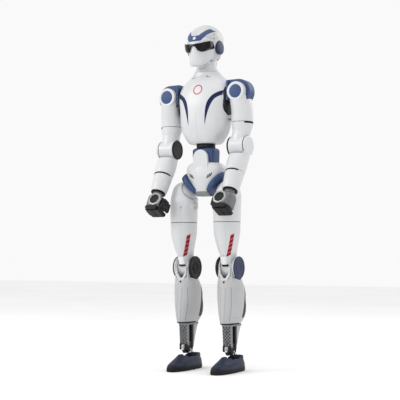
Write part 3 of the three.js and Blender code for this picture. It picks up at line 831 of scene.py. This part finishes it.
def make_elbow():
    y, z = ELBOW
    neck = loft("elbow", [ring(z - 5, 36, ARM_X - 3, y, 2, 42), ring(1110, 41, ARM_X - 3, -13, 2, 43),
        ring(1134, 44, ARM_X - 2, -6), ring(1149, 45, ARM_X, -1), ring(1164, 49, ARM_X, 2),
        ring(1176, 51, ARM_X, 3.6), ring(1190.4, 51.3, ARM_X, 4)], sides=96)
    barrel = disc("barrel", "x", 47, 157.3, 235.8, (y, z), lip=2, sides=96)
    joined(neck, barrel)
    cut(neck, disc("plate_room", "x", 49, 235.9, 290, (y, z)), disc("cap_room", "x", 49, 100, 157.2, (y, z)))
    softened(neck, voxel=1.3, smooth=6, keep=0.35)
    finish_pair(neck, "elbow_housing", WHITE, "elbow", cad=True)
    cap = disc("cap", "x", 47, 156.5, 149.2, (y, z), lip=2.4, dish=1.6, dish_radius=40, sides=96)
    finish_pair(cap, "elbow_cap", BLACK, "elbow", cad=True)

    rim = disc("rim", "x", 47.3, 234.6, 237.4, (y, z), lip=0.6, sides=96)
    finish_pair(rim, "elbow_seam", SOFT_GROOVE, "elbow")

    # The seam under the sleeve: a thin grey line in front, a wide black slot round the rear half.
    seam = ring_slot("arm_seam_slot", (ARM_X, 4, ARM_SEAM - 4.5), 50.6, 52.1, 7.5, -52, 122)
    finish_pair(seam, "arm_seam_slot", GROOVE, "elbow")


def ring_slot(name, centre, inner, outer, height, start, end):
    """Part of a short tube round a vertical axis, between two angles in degrees."""
    points, faces = [], []
    angles = np.linspace(radians(start), radians(end), 40)
    for a in angles:
        for radius, level in ((inner, 0), (outer, 0), (outer, height), (inner, height)):
            points.append((centre[0] + radius * cos(a), centre[1] + radius * sin(a), centre[2] + level - height / 2))
    for i in range(len(angles) - 1):
        for k in range(4):
            m = (k + 1) % 4
            faces.append((4 * i + k, 4 * i + 4 + k, 4 * i + 4 + m, 4 * i + m))
    last = 4 * (len(angles) - 1)
    faces += [(0, 1, 2, 3), (last + 3, last + 2, last + 1, last)]
    return object_of(name, points, faces)


def make_forearm():
    y, z = ELBOW
    upper = swung(loft("forearm", [ring(-FOREARM_SEAM + 0.4, 46.3), ring(-125, 48.8), ring(-95, 50),
        ring(-65, 49.5, 1), ring(-35, 48, 2, 0, 2, 46), ring(-14, 44, 5, 0, 2, 40)]))
    outside = kept(copied(upper), block("out", (236.6, 300), (-100, 80), (900, 1200)))
    plate = disc("plate", "x", 47, 236.6, 250, (y, z), lip=5, sides=96)
    cheek = block("cheek", (236.6, 249), (-52, 12), (1034, z))
    cut(upper, disc("barrel_room", "x", 48.2, 90, 236.6, (y, z)),
        block("neck_room", (90, 236.6), (-90, 80), (1037, 1200)))
    joined(upper, outside, plate, cheek)
    softened(upper, voxel=1.3, smooth=8, keep=0.35)
    finish_pair(upper, "forearm_upper", WHITE, "forearm", cad=True)

    lower = loft("forearm_end", [ring(-FOREARM_END, 36.3), ring(-238, 38.6), ring(-218, 41.6), ring(-190, 44.0),
        ring(-170, 45.4), ring(-FOREARM_SEAM - 0.8, 46.3)])
    cut(lower, disc("bore", "z", 28.4, -FOREARM_END - 10, -FOREARM_END + 30, (0, 0)))
    swung(softened(lower, voxel=1.3, smooth=3, keep=0.35))
    finish_pair(lower, "forearm_lower", WHITE, "forearm_end", cad=True)
    slot = swung(ring_slot("forearm_slot", (0, 0, -FOREARM_SEAM - 4), 45.4, 46.9, 6.5, 190, 318))
    finish_pair(slot, "forearm_seam_slot", GROOVE, "forearm_end")
    cuff = swung(lathe("cuff", [(28.5, -249), (35.4, -249), (36.4, -247.5), (36.2, -244.6), (28.5, -244.6),
        (28.5, -249)], "z", (0, 0, 0), 72))
    finish_pair(cuff, "wrist_cuff", BLACK, "forearm_end")


# ---- hand ----
def make_hand():
    top = -WRIST
    palm = loft("palm", [ring(top - 80.5, 36, -8, 0, 3.0, 38), ring(top - 72, 39.5, -8, 0, 3.2, 41.5),
        ring(top - 34, 40, -7.5, 0, 3.2, 42), ring(top - 18, 36, -4, 0, 2.7, 38), ring(top - 8, 29, 0, 0)],
        step=2.5, lip=3)
    joined(palm, sphere("wrist_ball", 26.2, (0, 0, top)))
    disc_seat = disc("seat", "y", 27.5, -60, -37.5, (-21, top - 47), lip=0.3)
    cut(palm, disc_seat)
    softened(palm, voxel=1.1, smooth=4, keep=0.35)
    swung(palm)
    finish_pair(palm, "palm_housing", HAND_GREY, "hand", cad=True)
    rim = swung(lathe("rim", [(25.6, -36), (25.6, -45.2), (27.0, -46.6), (33.5, -45.4), (35.5, -42), (35.5, -36),
        (25.6, -36)], "y", (-21, 0, top - 47), 8))
    finish_pair(rim, "palm_rim", RIM_GREY, "hand")
    pad = swung(disc("pad", "y", 25.2, -36, -43.2, (-21, top - 47), lip=1.8, dish=1.4, dish_radius=21))
    finish_pair(pad, "palm_disc", BLACK, "hand")

    knuckle, middle = (18, top - 93), (-44, top - 93)
    tip_root, tip_end = (-58.5, top - 75), (-58.5, top - 38)
    base_parts, tip_parts = [], []
    for index in range(4):
        low, high, shorter = finger_span(index)
        base_parts.append(finger_bar("finger", (knuckle[0] - shorter, knuckle[1]), middle, 10.4, low, high))
        tip_parts.append(finger_bar("finger", tip_root, (tip_end[0], tip_end[1] - shorter), 8.8, low, high))
    base = joined(disc("finger_base", "y", 8.0, -30, 35, knuckle, lip=1), *base_parts,
        disc("web", "y", 8.0, -30, 35, middle, lip=1))
    tips = joined(disc("finger_tips", "y", 6.4, -30, 35, tip_root, lip=1), *tip_parts)
    for piece, name, body in ((base, "finger_base", "fingers"), (tips, "finger_tips", "fingertips")):
        softened(piece, voxel=0.9, smooth=3, keep=0.3)
        swung(piece)
        finish_pair(piece, name, BLACK, body, cad=True)
    thumb = finger_bar("thumb", (10, top - 90), (-36, top - 90), 9.0, -46, -32)
    softened(thumb, voxel=0.9, smooth=6, keep=0.3)
    swung(thumb)
    finish_pair(thumb, "thumb", BLACK, "thumb", cad=True)
    for name, body, points, lows in (
            ("finger_joint_band", "fingers", ((-14, top - 93),), (10.6, 11.5)),
            ("fingertip_band", "fingertips", ((-58.5, top - 56),), (8.6, 9.5))):
        for index in range(4):
            x, z = points[0]
            low, high, _ = finger_span(index)
            along = name == "finger_joint_band"
            strip = block(name, (x - 2.2, x + 2.2) if along else (x - lows[1], x + lows[1]),
                (low + 1.2, high - 1.2), (z - lows[1], z + lows[1]) if along else (z - 2.2, z + 2.2))
            softened(strip, voxel=0.8, smooth=2, keep=0.5)
            swung(strip)
            finish_pair(strip, f"{name}_{index}", RUBBER, body)


def finger_span(index):
    """Where a finger lies across the hand, and how much shorter than the middle fingers it is."""
    low = -31 + 17 * index
    return low, low + 15.8, 5 if index in (0, 3) else 0


def finger_bar(name, start, end, radius, low, high):
    angle = atan2(end[1] - start[1], end[0] - start[0]) * 180 / pi
    outline = arc(*end, radius, angle - 90, angle + 90, 14) + arc(*start, radius, angle + 90, angle + 270, 14)
    return prism(name, outline, low, high)


# ---- leg ----
def make_thigh():
    ball = sphere("hip_ball", HIP_BALL, HIP, 64)
    finish_pair(ball, "hip_ball", WHITE, "hip", cad=True)

    upper = loft("thigh", [(THIGH_SEAM + 0.5, 63, -79, 63, 2), (728, 64.4, -80.6, 64.6, 2),
        (771, 65.5, -81.5, 66.5, 2), (810, 66, -80, 70, 2), (838, 66, -74, 70, 2), (856, 63.5, -67, 66, 2),
        (875, 60, -61, 61, 2, 2, 120), (890, 53.2, -54, 54, 2, 2, 120), (900, 45, -45.5, 45.5, 2, 2, 120),
        (908, 35, -35, 35, 2, 2, 120), (914, 22, -22, 22, 2, 2, 120), (918, 7, -7, 7, 2, 2, 120)], sides=112, lip=1,
        x=LEG_X)
    lobe = sphere("lobe", 38, (86, -12, 797), 64)
    joined(upper, lobe)
    cut(upper, sphere("ball_room", HIP_BALL + 1.7, HIP, 96),
        disc("relief", "y", 88, -120, 120, (20, 905), sides=128), ring_disc("hip_side", 150, -150, 31, lip=1))
    softened(upper, voxel=1.6, smooth=7, keep=0.45)
    cut(upper, turned(ring_disc("hip_side", 65.4, RING_INNER - 2, 18.4, lip=1), about("Y", HIP, HIP_ROLL_LIMIT)))
    groove(upper, [(84, 822), (96, 800), (100, 776), (99, 750), (96, 718)], 1.6, 1.2)
    groove(upper, [(150, 838), (158, 800), (160, 760), (156, 718)], 1.0, 0.7)
    cut(upper, lathe("dimple", [(0, -3), (7.4, -3), (6.2, 6), (0, 6)], "y", (97, -77, 787), 32))
    finish_pair(upper, "thigh_upper", WHITE, "thigh", cad=True)
    lobe_cap = disc("lobe_cap", "x", 20, 58, 48.6, (-12, 797), lip=3)
    finish_pair(lobe_cap, "thigh_lobe_cap", SHIN_GREY, "thigh")

    y, z = KNEE
    lower = loft("thigh_end", [(z, 28.5, y - 40, y + 40, 3), (548, 30, -37, 56, 3), (579, 42, -52, 50, 2.2),
        (609, 51, -64, 54, 2), (638, 57.5, -72.5, 58, 2), (667, 62, -78, 62, 2),
        (THIGH_SEAM - 0.8, 63.5, -79.5, 63.5, 2)], sides=112, lip=2, x=LEG_X)
    hub = disc("hub", "x", 44, LEG_X - KNEE_HALF, LEG_X + KNEE_HALF, (y, z), lip=3, sides=96)
    joined(lower, hub)
    softened(lower, voxel=1.6, smooth=7, keep=0.45)
    groove(lower, [(100, 706), (98, 660), (102, 610), (108, 570)], 1.1, 0.8)
    groove(lower, [(146, 706), (148, 660), (144, 610), (136, 570)], 1.1, 0.8)
    pair = finish_pair(lower, "thigh_lower", LEG_WHITE, "thigh_end", cad=True)

    # The slanted bars sit on the same side of both legs.
    for one, (side, flag) in zip(pair, SIDES):
        place = Matrix.Translation((flag * LEG_X, 0, 0))
        mark(RED, f"thigh_end_{side}", f"thigh_band_{side}", one, [(-8, 652), (-19, 552)], [(12, 660), (1, 560)],
            "quarter", low=-0.8, high=0.3, along=40, across=5, frame_matrix=place)
        for index in range(5):
            slide, height = -2.2 * index, 645 - 21 * index
            mark(DARK_RED, f"thigh_end_{side}", f"thigh_bar_{side}_{index}", one, [(slide - 7.5, height),
                (slide + 11.5, height + 10)], [(slide - 9, height - 12), (slide + 10, height - 2)], "quarter",
                low=-0.4, high=0.6, along=8, across=5, frame_matrix=place)
    seam_line = lathe("seam", [(60, THIGH_SEAM - 1.8), (62, THIGH_SEAM - 1.8), (62, THIGH_SEAM + 1.8),
        (60, THIGH_SEAM + 1.8), (60, THIGH_SEAM - 1.8)], "z", (0, 0, 0), 96)
    seam_line.data.transform(DRAWN_TO_FRAME @ Matrix.Translation((LEG_X, -8, 0)) @ Matrix.Diagonal((1.01, 1.13, 1, 1))
                             @ DRAWN_TO_FRAME.inverted())
    finish_pair(seam_line, "thigh_seam", SOFT_GROOVE, "thigh_end")


SHIN = [(SHIN_BOTTOM + 0.4, 31, -51, 106, 2.2), (240, 36, -54, 122, 2.2), (262, 42, -57, 138, 2.2),
    (283, 47, -57, 143, 2.2), (313, 52.5, -55, 138.5, 2.2), (343, 56, -52, 127, 2.2), (372, 58.5, -48.6, 121, 2.2),
    (404, 59.5, -43.6, 104, 2.2), (432, 57, -39, 82, 2.2), (448, 52, -34, 68, 2.2)]


def make_shin():
    y, z = KNEE
    shape = loft("shin", SHIN, sides=112, lip=2, x=LEG_X)
    shell = copied(shape)
    inner, outer = (82.6, LEG_X - KNEE_HALF - SEAM), (LEG_X + KNEE_HALF + SEAM, 158.4)
    for low, high in (inner, outer):
        joined(shell, disc("cheek", "x", 50, low, high, (y, z), lip=2, sides=96), prism("neck", [(-31, 430),
            (-26, z), (72, z), (67, 430)], low, high, "x"))
    hub_room = disc("room", "x", 45.2, inner[1], outer[0], (y, z), lip=0.3, sides=96)
    rooms = [disc("disc_room", "x", KNEE_DISC + 1, a, b, (y, z), lip=0.3, sides=96)
        for a, b in ((30, inner[0]), (outer[1], 210))]
    cut(shell, hub_room, *rooms, block("calf", (40, 200), (68, 200), (256, 436)))
    softened(shell, voxel=1.6, smooth=6, keep=0.45)
    groove(shell, [(64, 392), (90, 404), (121, 398), (152, 404), (178, 392)], 1.2, 0.9)
    groove(shell, [(-40, 262), (0, 258), (60, 256), (110, 262)], 1.2, 1.0, "left")
    pair = finish_pair(shell, "shin_shell", SHIN_GREY, "shin", cad=True)
    # The four grey strips down each shin are painted shade: dark lines that stand in for the shadows of creases the
    # smooth shell does not have.
    for one, (side, flag) in zip(pair, SIDES):
        for index, offset in enumerate((-36, -12, 12, 36)):
            line = [(flag * LEG_X + offset, 404), (flag * LEG_X + offset * 1.04, 330),
                (flag * LEG_X + offset * 0.7, 240)]
            mark(SOFT_GREY, f"shin_{side}", f"shin_crease_{side}_{index}", one, *band(line, 1.8, 1.4, 40), low=-0.6,
                high=0.12, along=40, across=2)

    insert = kept(shape, block("strip", (40, 200), (68.6, 200), (256.6, 435.4)))
    softened(insert, voxel=1.4, smooth=4, keep=0.4)
    for level in range(6):
        groove(insert, [(LEG_X - 18, 290 + 22 * level), (LEG_X + 18, 290 + 22 * level)], 1.6, 1.2, "back", 12)
    finish_pair(insert, "calf_insert", BLACK, "shin", cad=True)

    foot_line = loft("foot_line", [(SHIN_BOTTOM + 0.5, 31.8, -51.8, 98, 2.2),
        (SHIN_BOTTOM + 6, 34, -53.4, 104, 2.2)], step=2, lip=0.6, x=LEG_X)
    finish_pair(foot_line, "shin_edge", GROOVE, "shin")

    inner_disc = disc("knee", "x", KNEE_DISC, 82, 69, (y, z), lip=3.2, dish=2.2, dish_radius=44, sides=96)
    finish_pair(inner_disc, "knee_disc_inner", BLACK, "shin", cad=True)
    drum = disc("knee", "x", 52, 159, 168, (y, z), lip=1.5, sides=96)
    finish_pair(drum, "knee_disc_outer", LEG_WHITE, "shin", cad=True)
    cover = disc("cover", "x", 55, 166.4, 172, (y, z), lip=2.4, dish=1.4, dish_radius=46, sides=96)
    finish_pair(cover, "knee_cover", KNEE_NAVY, "shin")
    for name, face, toward, material in (("inner", 69, -1, RUBBER), ("outer", 172, 1, KNEE_NAVY)):
        hub = disc("hub_cap", "x", 30, face - toward * 6, face - toward * 0.3, (y, z), lip=2.2, dish=1.2,
            dish_radius=22)
        finish_pair(hub, f"knee_hub_{name}", material, "shin")
        for index in range(6):
            angle = radians(30 + 60 * index)
            bolt = disc("bolt", "x", 2.6, face - toward * 4.0, face - toward * 1.0,
                (y + 37 * cos(angle), z + 37 * sin(angle)), lip=0.7, sides=24)
            finish_pair(bolt, f"knee_bolt_{name}_{index}", SOFT_GROOVE, "shin")

    # The bright tongue over the knee, and the dark pin below it.
    tongue = loft("tongue", [(511, 16, -37, 10, 3.4), (530, 18, -42, 10, 3.4), (550, 19, -47, 0, 3.4)], sides=72,
        step=2.5, lip=3, x=LEG_X - 3)
    finish_pair(tongue, "knee_tongue", BRIGHT_WHITE, "thigh_end")
    slot = block("slot", (LEG_X - 17, LEG_X + 15), (-30, -10), (503, 511))
    finish_pair(slot, "knee_slot", GROOVE, "thigh_end")
    # The forked top of the shin, open in a V in front of the hub.
    yoke = prism("yoke", [(LEG_X - 30, 500), (LEG_X - 26, 500), (LEG_X - 22, 470), (LEG_X - 5, 444),
        (LEG_X + 5, 444), (LEG_X + 22, 470), (LEG_X + 27, 500), (LEG_X + 31, 500), (LEG_X + 29, 462),
        (LEG_X + 12, 435), (LEG_X - 12, 435), (LEG_X - 28, 462)], -37, -24)
    cut(yoke, disc("hub_room", "x", 46, LEG_X - 60, LEG_X + 60, (y, z), lip=0.3, sides=96))
    softened(yoke, voxel=1.1, smooth=4, keep=0.4)
    finish_pair(yoke, "knee_yoke", LEG_WHITE, "shin")
    eye = disc("eye", "y", 4.6, -42, -36, (LEG_X, 428), lip=0.8)
    finish_pair(eye, "shin_eye", GROOVE, "shin")


def make_ankle():
    top = SHIN_BOTTOM - SEAM
    plate = prism("plate", [(-16, top), (-8, 118), (6, 118), (4, top)], LEG_X - 23, LEG_X + 23, "x")
    roof = block("roof", (LEG_X - 26, LEG_X + 26), (-16, 88), (top - 9, top))
    joined(plate, roof)
    softened(plate, voxel=1.0, smooth=4, keep=0.35)
    finish_pair(plate, "ankle_frame", MESH_GREY, "shin", cad=True)
    strut = loft("strut", [(104, 11, 56, 72, 3), (150, 15, 53, 80, 3), (195, 20, 49, 92, 3), (top, 26, 46, 103, 3)],
        sides=72, lip=2, x=LEG_X)
    finish_pair(strut, "ankle_strut", SHIN_GREY, "shin")
    fork = block("bridge", (LEG_X - 18, LEG_X + 18), (-4, 26), (118, 130))
    for side in (-15, 15):
        outline = arc(ANKLE[0], 96, 13, 180, 360, 16) + [(ANKLE[0] + 13, 124), (ANKLE[0] - 13, 124)]
        joined(fork, prism("fork", outline, LEG_X + side - 3.5, LEG_X + side + 3.5, "x"))
    softened(fork, voxel=1.0, smooth=4, keep=0.35)
    finish_pair(fork, "ankle_fork", BLACK, "shin")

    # The staggered pattern of square holes on the front plate, drawn as inset pads.
    rows, columns = 11, 5
    pads, faces = [], []
    pitch = 8.0
    for row in range(rows):
        for column in range(columns):
            if (row + column) % 2:
                continue
            x = LEG_X + (column - (columns - 1) / 2) * pitch
            z = 212 - row * pitch
            front = -16 + 8 * (top - z) / (top - 118)
            first = len(pads)
            half = pitch / 2 - 0.25
            for depth in (-0.25, 3.0):
                for u, v in ((-half, -half), (half, -half), (half, half), (-half, half)):
                    pads.append((x + u, front + depth, z + v))
            faces += [tuple(first + k for k in face) for face in
                      ((0, 1, 2, 3), (7, 6, 5, 4), (0, 4, 5, 1), (1, 5, 6, 2), (2, 6, 7, 3), (3, 7, 4, 0))]
    finish_pair(object_of("mesh_pads", pads, faces), "ankle_mesh", GROOVE, "shin", sharp=20)
    for index, (x, z) in enumerate(((118, 190), (119, 140))):
        front = -16 + 8 * (top - z) / (top - 118)
        bolt = disc("bolt", "y", 6.0, front + 2, front - 3.0, (x, z), lip=1.2, sides=32)
        finish_pair(bolt, f"ankle_bolt_{index}", METAL, "shin")
        socket = disc("socket", "y", 2.7, front - 2.4, front - 3.25, (x, z), lip=0.2, sides=6)
        finish_pair(socket, f"ankle_socket_{index}", GROOVE, "shin")

    motors = block("motors", (LEG_X - 24, LEG_X + 24), (27, 44), (134, top - 9.4))
    for side in (-20, 20):
        joined(motors, disc("rod", "z", 4.5, 82, 140, (LEG_X + side, 36), lip=1, sides=24))
    softened(motors, voxel=1.0, smooth=4, keep=0.35)
    finish_pair(motors, "ankle_actuator", BLACK, "shin", cad=True)
    for side in (-20, 20):
        ball = sphere("rod_ball", 7.4, (LEG_X + side, 36, 88), 32)
        finish_pair(ball, f"ankle_rod_ball_{'out' if side > 0 else 'in'}", BRIGHT, "shin")
    strut_ball = sphere("strut_ball", 9, (LEG_X, 63, 106), 32)
    finish_pair(strut_ball, "ankle_strut_ball", BRIGHT, "shin")

    cross = joined(disc("cross_x", "x", 10, LEG_X - 10.5, LEG_X + 10.5, ANKLE, lip=1.5),
        disc("cross_y", "y", 9, ANKLE[0] - 22, ANKLE[0] + 22, (LEG_X, ANKLE[1]), lip=1.5))
    softened(cross, voxel=0.8, smooth=3, keep=0.35)
    finish_pair(cross, "ankle_cross", BLACK, "ankle", cad=True)
    link = loft("link", [(99, 7, -22, -12, 2.6), (110, 9, -22, -11.6, 2.6), (122, 9, -18, -5, 2.6)], sides=40,
        step=2, lip=1.5, x=LEG_X)
    finish_pair(link, "ankle_link", RIM_GREY, "shin")
    finish_pair(sphere("link_ball", 6.0, (LEG_X, -17, 99), 32), "ankle_link_ball", BRIGHT, "shin")
    guards = block("guard", (LEG_X - 22, LEG_X - 11), (-14, -10.2), (96, 126))
    joined(guards, block("guard", (LEG_X + 11, LEG_X + 22), (-14, -10.2), (96, 126)),
        block("guard", (LEG_X - 22, LEG_X + 22), (-12, 24), (113, 126)))
    softened(guards, voxel=0.9, smooth=3, keep=0.35)
    finish_pair(guards, "ankle_guard", BLACK, "shin")


def make_shoe():
    half, sole_top = 138, 20
    sole = loft("sole", [(0, 43, -half, half, 2.6), (6, 45, -half, half, 2.6),
        (sole_top, 44, -half + 2, half - 1, 2.6)], sides=144, step=2, lip=1.6, x=LEG_X)
    cut(sole, block("instep", (LEG_X - 60, LEG_X + 60), (34, 58), (-10, 5)))
    for index in range(9):
        y = -112 + 15 * index
        cut(sole, block("tread", (LEG_X - 60, LEG_X + 60), (y, y + 2.4), (-6, 3)))
    softened(sole, voxel=1.2, smooth=3, keep=0.4)
    finish_pair(sole, "sole", RUBBER, "foot", cad=True)
    welt = loft("welt", [(17.5, 44.6, -half + 0.8, half - 0.2, 2.6), (22.5, 43.8, -half + 3, half - 1.6, 2.6)],
        sides=144, step=1, lip=0.8, x=LEG_X)
    finish_pair(welt, "sole_welt", BLACK, "foot")

    upper = loft("shoe", [(sole_top + 0.4, 43, -134, 135, 2.6), (26, 43.4, -132, 136, 2.6),
        (34, 42.4, -122, 136, 2.5), (45, 40.5, -100, 134, 2.3), (58, 36, -72, 128, 2.2), (69, 32, -50, 121, 2.2)],
        sides=144, step=2.5, lip=3, x=LEG_X)
    collar = loft("collar", [(60, 34, 30, 125, 2.2), (75, 29, 54, 118, 2.2)], sides=96, step=2, lip=3, x=LEG_X)
    joined(upper, collar)
    cut(upper, block("opening", (LEG_X - 28, LEG_X + 28), (ANKLE[0] - 22.4, 92), (52, 120)),
        block("bore", (LEG_X - 60, LEG_X + 60), (-12, 58), (62, 120)))
    softened(upper, voxel=1.4, smooth=7, keep=0.45)
    for name, ys, zs in (("shoe_heel", (100, 200), (10, 62)), ("shoe_toe", (-200, -118), (10, 31))):
        guard = kept(copied(upper), block("guard", (LEG_X - 60, LEG_X + 60), ys, zs))
        cut(upper, block("guard", (LEG_X - 60, LEG_X + 60), ys, zs))
        finish_pair(guard, name, BLACK, "foot")
    groove(upper, [(LEG_X - 42, -50), (LEG_X - 26, -84), (LEG_X, -94), (LEG_X + 26, -84), (LEG_X + 42, -50)], 1.5,
        1.4, "top")
    groove(upper, [(-130, 33), (-60, 37), (20, 38), (128, 36)], 1.2, 1.1, "left")
    groove(upper, [(96, 20), (90, 44), (72, 66)], 1.2, 1.1, "left")
    finish_pair(upper, "shoe_upper", DEEP_NAVY, "foot", cad=True)
    tongue = loft("tongue", [(52, 21, -70, -10, 2.3), (64, 16, -62, -12, 2.2), (76, 8, -56, -20, 2.0)], sides=72,
        step=2, lip=2.5, x=LEG_X)
    cut(tongue, block("opening", (LEG_X - 28, LEG_X + 28), (ANKLE[0] - 23.4, 92), (40, 120)))
    softened(tongue, voxel=1.0, smooth=4, keep=0.4)
    finish_pair(tongue, "shoe_tongue", DEEP_NAVY, "foot")


# ---- stage ----
def make_stage():
    scene = bpy.context.scene
    material, tree, shader = new_material("stage")
    tint = ramp(tree, noise(tree, 0.7, 2), [(0.35, grey(0.90)), (0.7, grey(0.94))])
    tree.links.new(tint, shader.inputs["Base Color"])
    shader.inputs["Roughness"].default_value = 0.9
    floor_points = [(u * FLOOR_HALF, v * FLOOR_HALF, FLOOR_Z) for u, v in ((-1, -1), (1, -1), (1, 1), (-1, 1))]
    mesh = bpy.data.meshes.new("stage_floor")
    mesh.from_pydata(floor_points, [], [(0, 1, 2, 3)])
    floor = bpy.data.objects.new("stage_floor", mesh)
    scene.collection.objects.link(floor)
    floor.data.materials.append(material)

    world = bpy.data.worlds.new("studio")
    scene.world = world
    world.use_nodes = True
    world.node_tree.nodes["Background"].inputs["Color"].default_value = (1.0, 1.0, 1.0, 1.0)
    world.node_tree.nodes["Background"].inputs["Strength"].default_value = 0.95
    lights = (("key", (-3.2, -3.4, 3.2), 2.2, 74), ("fill", (3.6, -3.2, 1.6), 3.0, 9),
        ("rim", (1.6, 3.4, 3.0), 2.2, 26), ("top", (0.2, -0.6, 4.4), 2.4, 26))
    for name, place, size, power in lights:
        lamp = bpy.data.lights.new(name, "AREA")
        lamp.energy = power
        lamp.size = size
        light = bpy.data.objects.new(name, lamp)
        light.location = place
        light.rotation_euler = (Vector(LIGHTS_AIM) - Vector(place)).to_track_quat("-Z", "Y").to_euler()
        scene.collection.objects.link(light)

    camera = bpy.data.cameras.new("camera")
    camera.lens = CAMERA_LENS
    camera.sensor_width = CAMERA_SENSOR
    holder = bpy.data.objects.new("camera", camera)
    holder.location = DRAWN_TO_FRAME @ Vector(CAMERA_AT)
    holder.rotation_euler = (radians(CAMERA_TILT), 0, radians(CAMERA_TURN))
    scene.collection.objects.link(holder)
    scene.camera = holder
    scene.view_settings.view_transform = "Standard"


make_neck(make_head())
make_torso()
make_pelvis()
make_shoulder()
make_elbow()
make_forearm()
make_hand()
make_thigh()
make_shin()
make_ankle()
make_shoe()
make_stage()
